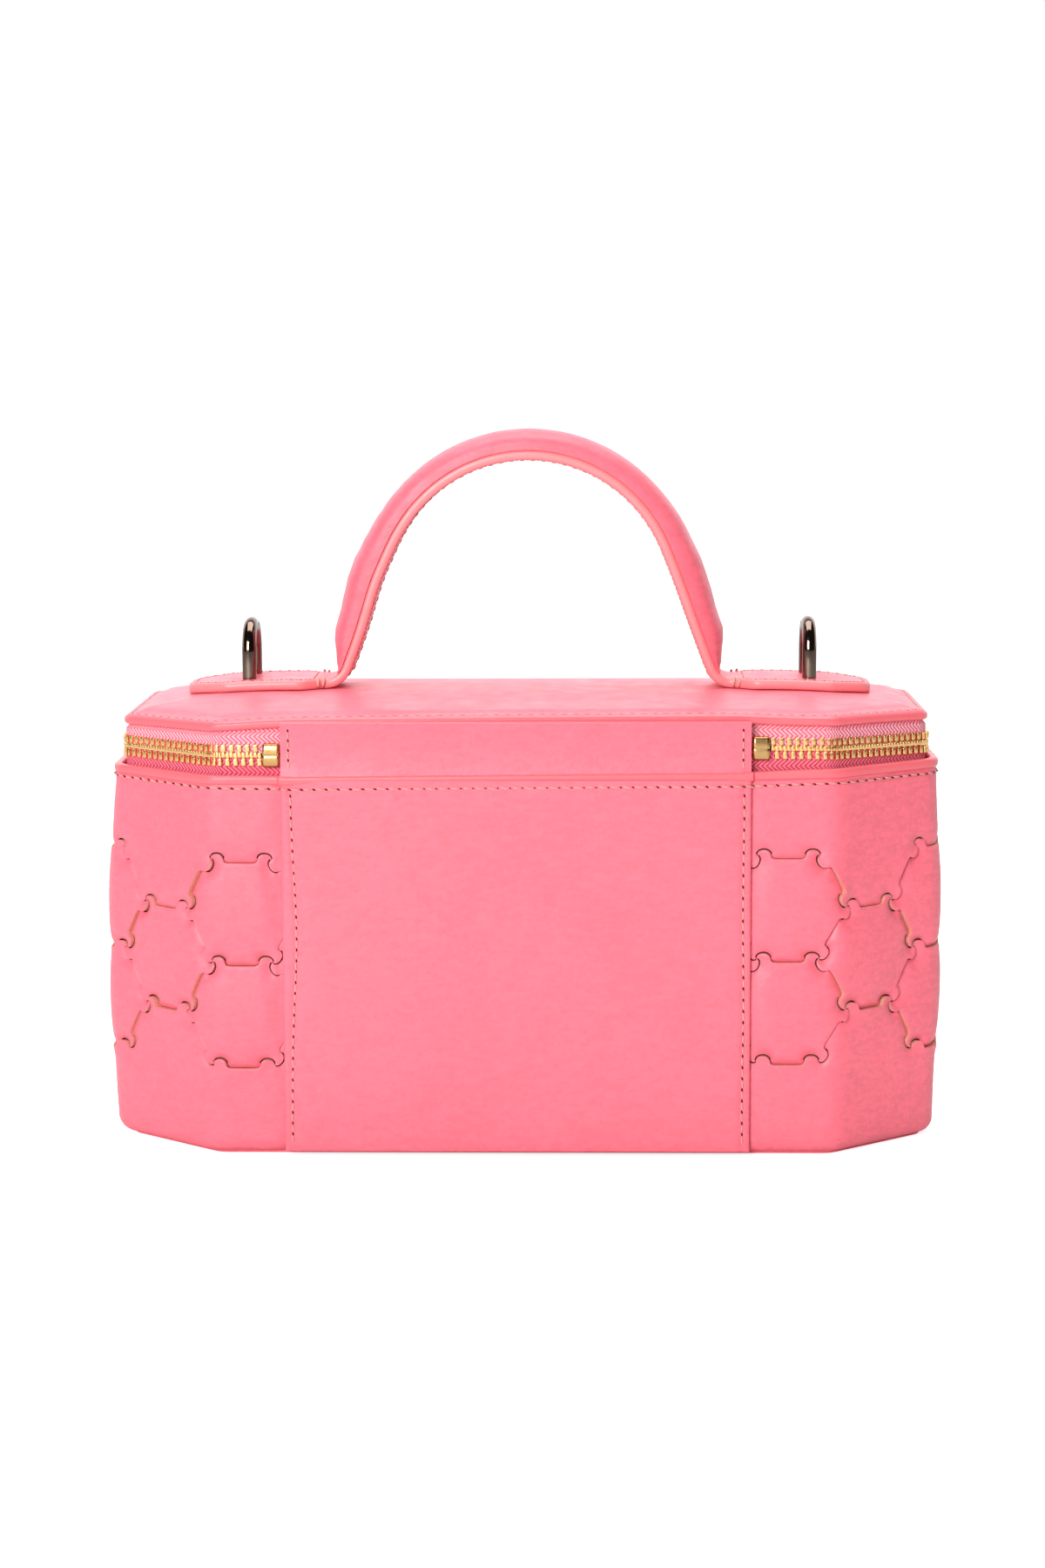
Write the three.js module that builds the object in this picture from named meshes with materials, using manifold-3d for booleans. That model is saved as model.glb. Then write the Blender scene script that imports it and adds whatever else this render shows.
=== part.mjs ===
// A leather makeup train case: an eight-sided box with a zipped, leather-hinged lid, an arched
// carrying handle and two metal loops for a shoulder strap. Below the rim the walls are clad in
// interlocked hexagonal leather tiles. Millimetres, +Z up, origin at the middle of the base's
// underside. The hinge is on the -Y side and the lid opens towards +Y.
import * as THREE from "three";
import { mergeVertices } from "three/addons/utils/BufferGeometryUtils.js";
import Module from "manifold-3d";

const wasm = await Module();
wasm.setup();

// ---- Driving dimensions ----
const WIDTH = 231; // across X
const DEPTH = 108; // across Y
const LONG_HALF = 86; // half the straight run of the front and back walls
const SIDE_HALF = 29.5; // half the straight run of the two end walls
const CORNER_R = 9; // bend radius of each of the eight wall corners
const MIN_CORNER_R = 0.8; // bend radius left when an outline is set far in
const ARC_STEPS = 3; // straight pieces in one bend
const GAP = 0.1; // air between stacked layers

// Heights above the base's underside.
const BASE_TOP = 1.3;
const WALL_BOTTOM = 1.4;
const RIM_BOTTOM = 104.7;
const RIM_TOP = 106.8;
const ZIP_MID = 112.6; // middle of the zip chain
const LID_BOTTOM = 118.9;
const LID_EDGE_TOP = 121.2;
const LID_CROWN = 4.2; // how far the padded lid rises above its edge
const CROWN_RUN = 46; // inset at which the crown is fully reached

// Layer positions, as distance in from the outside of the wall.
const LEATHER = 1.3;
const BOARD = [LEATHER + GAP, 3.0];
const TAPE = [3.1, 3.6];
const LINING = [3.8, 4.6];
const LID_INSET = 2.7;
const FOLD = 3.7; // radius with which the wall leather turns under the case

// Hexagonal tiles: nineteen columns that alternate two tiles and one tile.
const TILE_COLUMNS = 19;
const TILE_HEIGHT = 28.75;
const TILE_MID = 55.6;
const TILE_FIRST = 74.5; // first column, measured along the wall from the middle of the panel
const TILE_GAP = 0.25; // each tile stands this far inside its own outline
const TILE_TIP = 1; // height left at a tile's pointed side
const CLAD_START = 60; // the cladding ends here, under the back panel

const PANEL_HALF = 64.2; // half width of the back panel and of the hinge strip
const PANEL_MID = -1.9; // they, the tiles and the zip's ends sit this far off the middle
const PANEL_SIDES = [PANEL_MID - PANEL_HALF, PANEL_MID + PANEL_HALF];
const PANEL_LEATHER = 1.4;

// Zip.
const TEETH_HEIGHT = 2.3;
const TEETH_SLOT = 1.0; // between the two rows, where a slider's post runs
const TEETH_DEPTH = [2.3, 4.4];
const TEETH_START = 69.7; // from the middle of the back panel
const STOP_SIZE = [4.6, 1.6, 6.4];

// Handle, seen from the front: a round arch on two straight legs that splay outwards.
const ARCH_R = 40.7;
const ARCH_MID = 149.7; // height of the arch's centre
const LEG_SPLAY = THREE.MathUtils.degToRad(20.7);
const FOOT_R = 8; // bend where a leg turns flat onto the lid
const STRAP = 2.8; // thickness of the strap
const GRIP_HALF = 10; // half width of the strap on the handle
const TAB_HALF = 14.5; // half width of the strap's tabs
const TAB_END = 97.6;
const TAB_CHAMFER = [11.5, 7.5];
const PADDING = 5.8; // height of the padded cover over the strap
const COVER_SKIN = 1.3;
const COVER_FOOT = 127.4; // lowest height the padded cover reaches
const COVER_SHOULDER = 138; // height at which it has its full padding

// Strap loops.
const LOOP_X = 80.1;
const LOOP_WIRE_R = 2.05;
const LOOP_HALF = 7.5; // half the distance between the two legs
const LOOP_TOP = 145.4;
const LOOP_HOLE_R = 2.35;

// Sliders and pulls.
const SLIDER_X = 6.5;
const SLIDER_LENGTH = 11;
const PULL_Y = DEPTH / 2 + 1.2; // the axis a pull swings about
const BAIL_HALF = 1.1;
const PULL_BAR = 1.1;
const PULL_LENGTH = 24;

// ---- Materials ----
const material = (color, roughness, metalness = 0) =>
  new THREE.MeshStandardMaterial({ color, roughness, metalness });
const LEATHER_PINK = material("#ff8c9e", 0.45);
const EDGE_PAINT = material("#fb7b80", 0.35);
const BOARD_GREY = material("#b9a894", 0.9);
const SUEDE = material("#e8a0a8", 0.85);
const TAPE_PINK = material("#f9839b", 0.8);
const BRASS = material("#dcb55a", 0.3, 1);
const PALE_GOLD = material("#b9a58c", 0.12, 1);
const FOAM = material("#f0e6da", 0.95);
const SILVERED = material("#d8dde0", 0.03, 1);

const part = new THREE.Group();
function add(name, geometry, finish) {
  const mesh = new THREE.Mesh(geometry, finish);
  mesh.name = name;
  part.add(mesh);
  return mesh;
}

// ---- Closed skins ----
function signedVolume(positions, index) {
  const [a, b, c] = [new THREE.Vector3(), new THREE.Vector3(), new THREE.Vector3()];
  let sum = 0;
  for (let i = 0; i < index.length; i += 3) {
    a.fromArray(positions, index[i] * 3);
    b.fromArray(positions, index[i + 1] * 3);
    c.fromArray(positions, index[i + 2] * 3);
    sum += a.dot(b.cross(c));
  }
  return sum;
}

// A skin through rings of equal length. With caps, an array of two flat outlines that match the
// first and last ring, the ends are filled; without, the last ring joins the first.
function loft(rings, caps) {
  const count = rings[0].length;
  const positions = rings.flat().flatMap((p) => [p.x, p.y, p.z]);
  const index = [];
  const joins = caps ? rings.length - 1 : rings.length;
  for (let i = 0; i < joins; i++) {
    const a = i * count;
    const b = ((i + 1) % rings.length) * count;
    for (let j = 0; j < count; j++) {
      const k = (j + 1) % count;
      index.push(a + j, a + k, b + k, a + j, b + k, b + j);
    }
  }
  if (caps) {
    const last = (rings.length - 1) * count;
    const fill = caps.map((outline) => trianglesOf(outline));
    fill[0].forEach(([a, b, c]) => index.push(c, b, a));
    fill[1].forEach(([a, b, c]) => index.push(last + a, last + b, last + c));
  }
  if (signedVolume(positions, index) < 0) index.reverse();
  const geometry = new THREE.BufferGeometry();
  geometry.setAttribute("position", new THREE.Float32BufferAttribute(positions, 3));
  geometry.setIndex(index);
  return geometry;
}

// Triangles over a flat outline, always wound counterclockwise in its own plane, turned to the
// outline's own winding so that they match the skin beside them.
function trianglesOf(outline) {
  const triangles = THREE.ShapeUtils.triangulateShape(outline, []);
  const area = (t) =>
    (outline[t[1]].x - outline[t[0]].x) * (outline[t[2]].y - outline[t[0]].y) -
    (outline[t[2]].x - outline[t[0]].x) * (outline[t[1]].y - outline[t[0]].y);
  const winding = Math.sign(THREE.ShapeUtils.area(outline));
  return triangles.map((t) => (Math.sign(area(t)) === winding ? t : [t[0], t[2], t[1]]));
}

// ---- Booleans ----
function solid(geometry) {
  const bare = geometry.index ? geometry.toNonIndexed() : geometry.clone();
  bare.deleteAttribute("normal");
  bare.deleteAttribute("uv");
  const merged = mergeVertices(bare, 1e-4);
  return new wasm.Manifold(
    new wasm.Mesh({
      numProp: 3,
      vertProperties: merged.attributes.position.array,
      triVerts: new Uint32Array(merged.index.array),
    }),
  );
}

function geometryOf(manifold) {
  const mesh = manifold.getMesh();
  const geometry = new THREE.BufferGeometry();
  const positions = new Float32Array(mesh.numVert * 3);
  for (let i = 0; i < mesh.numVert; i++) {
    const from = i * mesh.numProp;
    positions.set(mesh.vertProperties.subarray(from, from + 3), i * 3);
  }
  geometry.setAttribute("position", new THREE.BufferAttribute(positions, 3));
  geometry.setIndex(new THREE.BufferAttribute(mesh.triVerts, 1));
  return geometry;
}

const join = (...pieces) => geometryOf(pieces.map(solid).reduce((a, b) => a.add(b)));
const cut = (piece, ...holes) =>
  geometryOf(holes.map(solid).reduce((a, b) => a.subtract(b), solid(piece)));

function box(x0, x1, y0, y1, z0, z1) {
  const geometry = new THREE.BoxGeometry(x1 - x0, y1 - y0, z1 - z0);
  return geometry.translate((x0 + x1) / 2, (y0 + y1) / 2, (z0 + z1) / 2);
}

// A flat shape in X and Z, pushed from y0 to y1.
function plateXZ(shape, y0, y1) {
  const geometry = new THREE.ExtrudeGeometry(shape, { depth: y1 - y0, bevelEnabled: false });
  return geometry.rotateX(Math.PI / 2).translate(0, y1, 0);
}

const shapeOf = (points) => new THREE.Shape(points.map(([x, y]) => new THREE.Vector2(x, y)));

// ---- The eight-sided outline ----
const CORNERS = [
  [LONG_HALF, -DEPTH / 2],
  [WIDTH / 2, -SIDE_HALF],
  [WIDTH / 2, SIDE_HALF],
  [LONG_HALF, DEPTH / 2],
  [-LONG_HALF, DEPTH / 2],
  [-WIDTH / 2, SIDE_HALF],
  [-WIDTH / 2, -SIDE_HALF],
  [-LONG_HALF, -DEPTH / 2],
].map(([x, y]) => new THREE.Vector2(x, y));

const inward = (direction) => new THREE.Vector2(-direction.y, direction.x);

// Each bend of the outline set in by n: its start, centre, turn and radius.
function bends(n) {
  const radius = Math.max(CORNER_R - n, MIN_CORNER_R);
  return CORNERS.map((corner, i) => {
    const before = CORNERS[(i + CORNERS.length - 1) % CORNERS.length];
    const after = CORNERS[(i + 1) % CORNERS.length];
    const coming = corner.clone().sub(before).normalize();
    const going = after.clone().sub(corner).normalize();
    const [n1, n2] = [inward(coming), inward(going)];
    const moved = corner.clone().addScaledVector(n1.clone().add(n2), n / (1 + n1.dot(n2)));
    const turn = Math.acos(coming.dot(going));
    const start = moved.clone().addScaledVector(coming, -radius * Math.tan(turn / 2));
    const centre = start.clone().addScaledVector(n1, radius);
    return { start, centre, turn, radius, spoke: n1.clone().negate(), coming, going };
  });
}

const spokeAt = (bend, angle) => bend.spoke.clone().rotateAround(new THREE.Vector2(), angle);

// The whole outline set in by n, as a ring at height z (a number or a function of x and y).
function ring(n, z) {
  return bends(n).flatMap((bend) =>
    Array.from({ length: ARC_STEPS + 1 }, (_, k) => {
      const spoke = spokeAt(bend, (bend.turn * k) / ARC_STEPS);
      const p = bend.centre.clone().addScaledVector(spoke, bend.radius);
      return new THREE.Vector3(p.x, p.y, typeof z === "function" ? z(p.x, p.y) : z);
    }),
  );
}

const flat = (points) => points.map((p) => new THREE.Vector2(p.x, p.y));
const slab = (n, z0, z1) => loft([ring(n, z0), ring(n, z1)], [flat(ring(n, z0)), flat(ring(n, z1))]);
const tube = ([out, inn], z0, z1) =>
  loft([ring(out, z0), ring(out, z1), ring(inn, z1), ring(inn, z0)]);

// The outline as a path, from the middle of the back wall towards +X and round.
const PATH = [];
let pathLength = 0;
{
  let from = new THREE.Vector2(0, -DEPTH / 2);
  for (const bend of bends(0)) {
    const run = bend.start.distanceTo(from);
    PATH.push({ from, direction: bend.coming, start: pathLength, length: run });
    pathLength += run;
    PATH.push({ bend, start: pathLength, length: bend.turn * bend.radius });
    pathLength += bend.turn * bend.radius;
    from = bend.centre.clone().addScaledVector(spokeAt(bend, bend.turn), bend.radius);
  }
  const closing = from.distanceTo(PATH[0].from);
  PATH.push({ from, direction: new THREE.Vector2(1, 0), start: pathLength, length: closing });
  pathLength += closing;
}

// The point at distance s along the wall, n in from its outside, at height z.
function onWall(s, n, z) {
  const piece = PATH.findLast((p) => p.start <= s);
  const along = s - piece.start;
  if (piece.bend) {
    const { bend } = piece;
    const spoke = spokeAt(bend, along / bend.radius);
    const p = bend.centre.clone().addScaledVector(spoke, bend.radius - n);
    return new THREE.Vector3(p.x, p.y, z);
  }
  const p = piece.from.clone().addScaledVector(piece.direction, along);
  p.addScaledVector(inward(piece.direction), n);
  return new THREE.Vector3(p.x, p.y, z);
}

// Every s a band needs between two ends: the ends, the bends' own steps and the extra ones.
function stations(s0, s1, extra = []) {
  const bendSteps = PATH.filter((p) => p.bend).flatMap((p) =>
    Array.from({ length: ARC_STEPS + 1 }, (_, k) => p.start + (p.length * k) / ARC_STEPS),
  );
  const inside = [...bendSteps, ...extra].filter((s) => s > s0 + 0.2 && s < s1 - 0.2);
  return [s0, ...inside, s1].sort((a, b) => a - b).filter((s, i, all) => !i || s - all[i - 1] > 0.05);
}

// A band along the wall. section(s) gives its outline there as [n, z] points.
function band(places, section) {
  const outlines = places.map((s) => section(s).map(([n, z]) => new THREE.Vector2(n, z)));
  const rings = outlines.map((outline, i) => outline.map((p) => onWall(places[i], p.x, p.y)));
  return loft(rings, [outlines[0], outlines.at(-1)]);
}

const strip = (n0, n1, z0, z1) => [
  [n0, z0],
  [n1, z0],
  [n1, z1],
  [n0, z1],
];

// ---- Base, walls and lining ----
add("base_panel", slab(FOLD - 0.2, 0, BASE_TOP), LEATHER_PINK);
add("base_board", slab(FOLD + GAP, WALL_BOTTOM, 2.4), BOARD_GREY);
add("wall_board", tube(BOARD, WALL_BOTTOM + FOLD + 0.3, RIM_BOTTOM - GAP), BOARD_GREY);

const LINING_FLOOR = 3.4;
add(
  "body_lining",
  loft(
    [
      ring(LINING[0], 2.5),
      ring(LINING[0], RIM_BOTTOM),
      ring(LINING[1], RIM_BOTTOM),
      ring(LINING[1], LINING_FLOOR),
    ],
    [flat(ring(LINING[0], 2.5)), flat(ring(LINING[1], LINING_FLOOR))],
  ),
  SUEDE,
);
add("rim_binding", tube([-0.3, 2.1], RIM_BOTTOM, RIM_TOP), EDGE_PAINT);

const PANEL_BACK = -DEPTH / 2 - GAP;
add(
  "back_panel",
  box(...PANEL_SIDES, PANEL_BACK - PANEL_LEATHER, PANEL_BACK, WALL_BOTTOM, RIM_BOTTOM - GAP),
  LEATHER_PINK,
);

// ---- Hexagonal cladding ----
const PITCH = (pathLength - 2 * TILE_FIRST) / (TILE_COLUMNS - 1);
const TILE_EDGE = PITCH / 1.5; // length of a tile's top edge, and from its middle to its tip
const columnAt = (k) => PANEL_MID + TILE_FIRST + k * PITCH;
const tallColumns = Array.from({ length: (TILE_COLUMNS + 1) / 2 }, (_, i) => columnAt(2 * i));

// How far the field of tiles reaches above and below its middle at s.
function fieldHalf(s) {
  const away = Math.min(...tallColumns.map((column) => Math.abs(s - column)));
  const slope = THREE.MathUtils.clamp((away - TILE_EDGE / 2) / (TILE_EDGE / 2), 0, 1);
  return TILE_HEIGHT * (1 - slope / 2);
}

const cladEnds = [PANEL_MID + CLAD_START, pathLength + PANEL_MID - CLAD_START];
const fieldBreaks = tallColumns.flatMap((c) => [-1, -0.5, 0.5, 1].map((k) => c + k * TILE_EDGE));
const cladPlaces = stations(...cladEnds, fieldBreaks);
add(
  "upper_wrap",
  band(cladPlaces, (s) =>
    strip(0, LEATHER, TILE_MID + fieldHalf(s) + TILE_GAP, RIM_BOTTOM - GAP),
  ),
  LEATHER_PINK,
);
// The turned-under part of the lower wrap: a quarter round outside, and a thinner one inside.
const FOLD_STEPS = 4;
const fold = (radius) =>
  Array.from({ length: FOLD_STEPS + 1 }, (_, k) => {
    const angle = (Math.PI / 2) * (k / FOLD_STEPS);
    return [FOLD - radius * Math.sin(angle), WALL_BOTTOM + FOLD - radius * Math.cos(angle)];
  });
const turnedUnder = [...fold(FOLD).toReversed(), ...fold(FOLD - LEATHER)];
add(
  "lower_wrap",
  band(cladPlaces, (s) => {
    const top = TILE_MID - fieldHalf(s) - TILE_GAP;
    return [[0, top], ...turnedUnder, [LEATHER, top]];
  }),
  LEATHER_PINK,
);

function hexTile(name, column, middle) {
  const half = TILE_HEIGHT / 2 - TILE_GAP;
  const shoulder = TILE_EDGE / 2;
  const reach = TILE_EDGE - TILE_GAP;
  const tip = reach - (TILE_TIP / 2 / half) * (reach - shoulder);
  const ends = [Math.max(column - tip, cladEnds[0]), Math.min(column + tip, cladEnds[1])];
  const halfAt = (s) =>
    half * Math.min(1, (reach - Math.abs(s - column)) / (reach - shoulder));
  const places = stations(...ends, [column - shoulder, column + shoulder]);
  const shape = band(places, (s) => strip(0, LEATHER, middle - halfAt(s), middle + halfAt(s)));
  add(name, shape, LEATHER_PINK);
}

for (let k = 0; k < TILE_COLUMNS; k++) {
  const number = String(k + 1).padStart(2, "0");
  if (k % 2) {
    hexTile(`hex_tile_${number}`, columnAt(k), TILE_MID);
  } else {
    hexTile(`hex_tile_${number}_upper`, columnAt(k), TILE_MID + TILE_HEIGHT / 2);
    hexTile(`hex_tile_${number}_lower`, columnAt(k), TILE_MID - TILE_HEIGHT / 2);
  }
}

// ---- Zip ----
const slotHalf = TEETH_SLOT / 2;
const lowerTeeth = [ZIP_MID - slotHalf - TEETH_HEIGHT, ZIP_MID - slotHalf];
const upperTeeth = [ZIP_MID + slotHalf, ZIP_MID + slotHalf + TEETH_HEIGHT];
const TAPE_TUCK = 2.7; // the tapes reach this far in behind the hinge strip
const zipPlaces = (start) => stations(PANEL_MID + start, pathLength + PANEL_MID - start);
const tapePlaces = zipPlaces(PANEL_HALF - TAPE_TUCK);
const teethPlaces = zipPlaces(TEETH_START);
const TAPE_FLANGE = 9; // the upper tape turns in this far under the lid board

add("lower_zip_tape", band(tapePlaces, () => strip(...TAPE, 97, lowerTeeth[0] - GAP)), TAPE_PINK);
add(
  "upper_zip_tape",
  band(tapePlaces, () => [
    [TAPE[0], upperTeeth[1] + GAP],
    [TAPE[1], upperTeeth[1] + GAP],
    [TAPE[1], LID_BOTTOM - GAP - 0.6],
    [TAPE_FLANGE, LID_BOTTOM - GAP - 0.6],
    [TAPE_FLANGE, LID_BOTTOM - GAP],
    [TAPE[0], LID_BOTTOM - GAP],
  ]),
  TAPE_PINK,
);
add("lower_zip_teeth", band(teethPlaces, () => strip(...TEETH_DEPTH, ...lowerTeeth)), BRASS);
add("upper_zip_teeth", band(teethPlaces, () => strip(...TEETH_DEPTH, ...upperTeeth)), BRASS);

for (const [side, name] of [
  [1, "zip_stop_right"],
  [-1, "zip_stop_left"],
]) {
  const [length, thick, tall] = STOP_SIZE;
  const outside = -DEPTH / 2 + TAPE[0] - 0.2 - thick;
  const shape = new THREE.BoxGeometry(length, thick, tall);
  const middle = (PANEL_HALF + TEETH_START) / 2;
  add(name, shape.translate(PANEL_MID + side * middle, outside + thick / 2, ZIP_MID - 0.6), BRASS);
}

// A slider: an outer and an inner plate, the post between them, and the bail that holds the pull.
// Its wide end, with the post, faces the middle of the case.
const PLATE_OUTER = [0.7, 2.0];
const PLATE_INNER = [5.0, 6.1];
function slider(side) {
  const wide = -side * (SLIDER_LENGTH / 2);
  const narrow = -wide;
  const outline = shapeOf([
    [wide, -2.6],
    [wide, 2.6],
    [wide * 0.6, 3.9],
    [narrow * 0.7, 3.3],
    [narrow, 2.5],
    [narrow, -2.5],
    [narrow * 0.7, -3.3],
    [wide * 0.6, -3.9],
  ]);
  const y = (n) => DEPTH / 2 - n;
  const outer = plateXZ(outline, y(PLATE_OUTER[1]), y(PLATE_OUTER[0]));
  const inner = plateXZ(outline, y(PLATE_INNER[1]), y(PLATE_INNER[0]));
  const [p0, p1] = [wide * 0.9, wide * 0.3].sort((a, b) => a - b);
  const post = box(p0, p1, y(PLATE_INNER[1] - 0.1), y(PLATE_OUTER[0] + 0.1), -0.35, 0.35);
  const root = y(PLATE_OUTER[0]) - 0.1;
  const bail = new THREE.ExtrudeGeometry(
    shapeOf([
      [root, -2.9],
      [57.1, -2.3],
      [57.1, 2.3],
      [root, 2.9],
      [root, 2.1],
      [56.3, 1.6],
      [56.3, -1.6],
      [root, -2.1],
    ]),
    { depth: 2 * BAIL_HALF, bevelEnabled: false },
  );
  // The bail's outline is drawn in Y and Z, and pushed along X.
  bail.applyMatrix4(
    new THREE.Matrix4().makeBasis(
      new THREE.Vector3(0, 1, 0),
      new THREE.Vector3(0, 0, 1),
      new THREE.Vector3(1, 0, 0),
    ),
  );
  bail.translate(-BAIL_HALF, 0, 0);
  return join(outer, inner, post, bail);
}

// A pull: a flat blade that hangs from the bail by a small eye.
function pull() {
  const arm = 2.7;
  const eyeTop = PULL_BAR / 2;
  const blade = new THREE.Shape();
  blade.moveTo(-arm, eyeTop);
  blade.lineTo(-arm, -8);
  blade.lineTo(-3.2, -10);
  blade.lineTo(-3.2, -PULL_LENGTH + 3.2);
  blade.absarc(0, -PULL_LENGTH + 3.2, 3.2, Math.PI, 2 * Math.PI, false);
  blade.lineTo(3.2, -10);
  blade.lineTo(arm, -8);
  blade.lineTo(arm, eyeTop);
  const eye = shapeOf([
    [-1.6, -eyeTop],
    [1.6, -eyeTop],
    [1.6, -6.1],
    [-1.6, -6.1],
  ]);
  blade.holes.push(eye);
  return new THREE.ExtrudeGeometry(blade, {
    depth: PULL_BAR,
    bevelEnabled: false,
    curveSegments: 6,
  })
    .rotateX(Math.PI / 2)
    .translate(0, PULL_BAR / 2, 0);
}

for (const [side, word] of [
  [1, "right"],
  [-1, "left"],
]) {
  add(`slider_${word}`, slider(side), BRASS).position.set(side * SLIDER_X, 0, ZIP_MID);
  add(`pull_${word}`, pull(), BRASS).position.set(side * SLIDER_X, PULL_Y, ZIP_MID);
}

// ---- Hinge strip ----
const STRIP_DEPTH = [1.5, 2.9];
const STRIP_BOTTOM = 107.8;
add(
  "hinge_strip",
  box(
    ...PANEL_SIDES,
    -DEPTH / 2 + STRIP_DEPTH[0],
    -DEPTH / 2 + STRIP_DEPTH[1],
    STRIP_BOTTOM,
    LID_BOTTOM - GAP,
  ),
  LEATHER_PINK,
);

// ---- Lid ----
// How far (x, y) lies inside the lid's edge.
function insetOf(x, y) {
  const sides = CORNERS.map((corner, i) => {
    const after = CORNERS[(i + 1) % CORNERS.length];
    const direction = after.clone().sub(corner).normalize();
    return inward(direction).dot(new THREE.Vector2(x, y).sub(corner));
  });
  return Math.min(...sides) - LID_INSET;
}

// The padded lid's top surface.
function crown(x, y) {
  const t = THREE.MathUtils.clamp(insetOf(x, y) / CROWN_RUN, 0, 1);
  return LID_EDGE_TOP + LID_CROWN * (1 - (1 - t) ** 2.2);
}

const LID_LEATHER = 1.2;
const FOAM_INSET = 10;
const CROWN_RINGS = [8, 18, 29, 41];
const underCrown = (x, y) => crown(x, y) - LID_LEATHER;
const LID_BOARD_TOP = LID_BOTTOM + 1.0;
const coverFlat = LID_BOARD_TOP + GAP;

const loopHole = (side, end) =>
  new THREE.CylinderGeometry(LOOP_HOLE_R, LOOP_HOLE_R, 16, 12)
    .rotateX(Math.PI / 2)
    .translate(side * LOOP_X, end * LOOP_HALF, 122);
const loopHoles = [-1, 1].flatMap((side) => [-1, 1].map((end) => loopHole(side, end)));

const LIP = 1.8; // the cover's edge hangs down beside the lid board, this thick
const coverRings = [
  ...CROWN_RINGS.toReversed()
    .filter((n) => n >= FOAM_INSET)
    .map((n) => ring(n + LID_INSET, underCrown)),
  ring(FOAM_INSET + LID_INSET, coverFlat),
  ring(LIP + LID_INSET, coverFlat),
  ring(LIP + LID_INSET, LID_BOTTOM),
  ring(LID_INSET, LID_BOTTOM),
  ring(LID_INSET, LID_EDGE_TOP),
  ...CROWN_RINGS.map((n) => ring(n + LID_INSET, crown)),
];
const coverCaps = [flat(coverRings[0]), flat(coverRings.at(-1))];
add("lid_cover", cut(loft(coverRings, coverCaps), ...loopHoles), LEATHER_PINK);

const foamTop = (x, y) => underCrown(x, y) - GAP;
const foamRings = [
  ring(FOAM_INSET + LID_INSET + 2, coverFlat),
  ...CROWN_RINGS.filter((n) => n > FOAM_INSET).map((n) => ring(n + LID_INSET, foamTop)),
];
const foamCaps = [flat(foamRings[0]), flat(foamRings.at(-1))];
add("lid_foam", cut(loft(foamRings, foamCaps), ...loopHoles), FOAM);
add("lid_board", cut(slab(LID_INSET + LIP + GAP, LID_BOTTOM, LID_BOARD_TOP), ...loopHoles), BOARD_GREY);
add("lid_lining", slab(4.4, 117.0, 118.1), SUEDE);

const MIRROR = [76, 29]; // half width and half depth
const MIRROR_CORNER = 10;
const mirrorOutline = [
  [MIRROR[0], MIRROR[1] - MIRROR_CORNER],
  [MIRROR[0] - MIRROR_CORNER, MIRROR[1]],
  [-MIRROR[0] + MIRROR_CORNER, MIRROR[1]],
  [-MIRROR[0], MIRROR[1] - MIRROR_CORNER],
  [-MIRROR[0], -MIRROR[1] + MIRROR_CORNER],
  [-MIRROR[0] + MIRROR_CORNER, -MIRROR[1]],
  [MIRROR[0] - MIRROR_CORNER, -MIRROR[1]],
  [MIRROR[0], -MIRROR[1] + MIRROR_CORNER],
];
const mirror = new THREE.ExtrudeGeometry(shapeOf(mirrorOutline), { depth: 1.5, bevelEnabled: false });
add("lid_mirror", mirror.translate(0, 0, 115.4), SILVERED);

// ---- Handle ----
// Points of the strap's underside from the top of the arch down one side, in X and Z, each with
// the direction that points out of the arch.
const legTop = new THREE.Vector2(
  ARCH_R * Math.cos(LEG_SPLAY),
  ARCH_MID + ARCH_R * Math.sin(LEG_SPLAY),
);
const legDirection = new THREE.Vector2(Math.sin(LEG_SPLAY), -Math.cos(LEG_SPLAY));
const lidUnder = (x) => crown(x, 0) + GAP; // where a tab lies on the lid
const TAB_START = 58.5;
const footLevel = lidUnder(TAB_START);
const legMeets = legTop.clone().addScaledVector(legDirection, (legTop.y - footLevel) / -legDirection.y);
const footTurn = Math.PI / 2 - LEG_SPLAY;
const footStart = legMeets
  .clone()
  .addScaledVector(legDirection, -FOOT_R * Math.tan(footTurn / 2));
const footCentre = footStart
  .clone()
  .addScaledVector(new THREE.Vector2(-legDirection.y, legDirection.x), FOOT_R);

function handleStations() {
  const found = [];
  const arc = 11;
  for (let k = 0; k <= arc; k++) {
    const angle = Math.PI / 2 - ((Math.PI / 2 - LEG_SPLAY) * k) / arc;
    const out = new THREE.Vector2(Math.cos(angle), Math.sin(angle));
    found.push({ at: new THREE.Vector2(0, ARCH_MID).addScaledVector(out, ARCH_R), out });
  }
  const outOfLeg = found.at(-1).out;
  const legRun = legTop.distanceTo(footStart);
  for (const share of [0.35, 0.62, 0.8, 1]) {
    found.push({ at: legTop.clone().addScaledVector(legDirection, legRun * share), out: outOfLeg });
  }
  for (const share of [0.33, 0.67, 1]) {
    const out = outOfLeg.clone().rotateAround(new THREE.Vector2(), footTurn * share);
    found.push({ at: footCentre.clone().addScaledVector(out, -FOOT_R), out });
  }
  return found;
}

const up = new THREE.Vector2(0, 1);
const tabPlaces = [66, 74, TAB_END - TAB_CHAMFER[0], TAB_END].map((x) => ({
  at: new THREE.Vector2(x, lidUnder(x)),
  out: up,
}));

// Half the strap's width at a station: slim on the handle, wide on the tabs, chamfered at the end.
function strapHalf({ at }) {
  const flare = THREE.MathUtils.smoothstep(at.x, TAB_START - 2, 66);
  const tip = THREE.MathUtils.clamp((at.x - TAB_END + TAB_CHAMFER[0]) / TAB_CHAMFER[0], 0, 1);
  return GRIP_HALF + (TAB_HALF - GRIP_HALF) * flare - TAB_CHAMFER[1] * tip;
}

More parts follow.
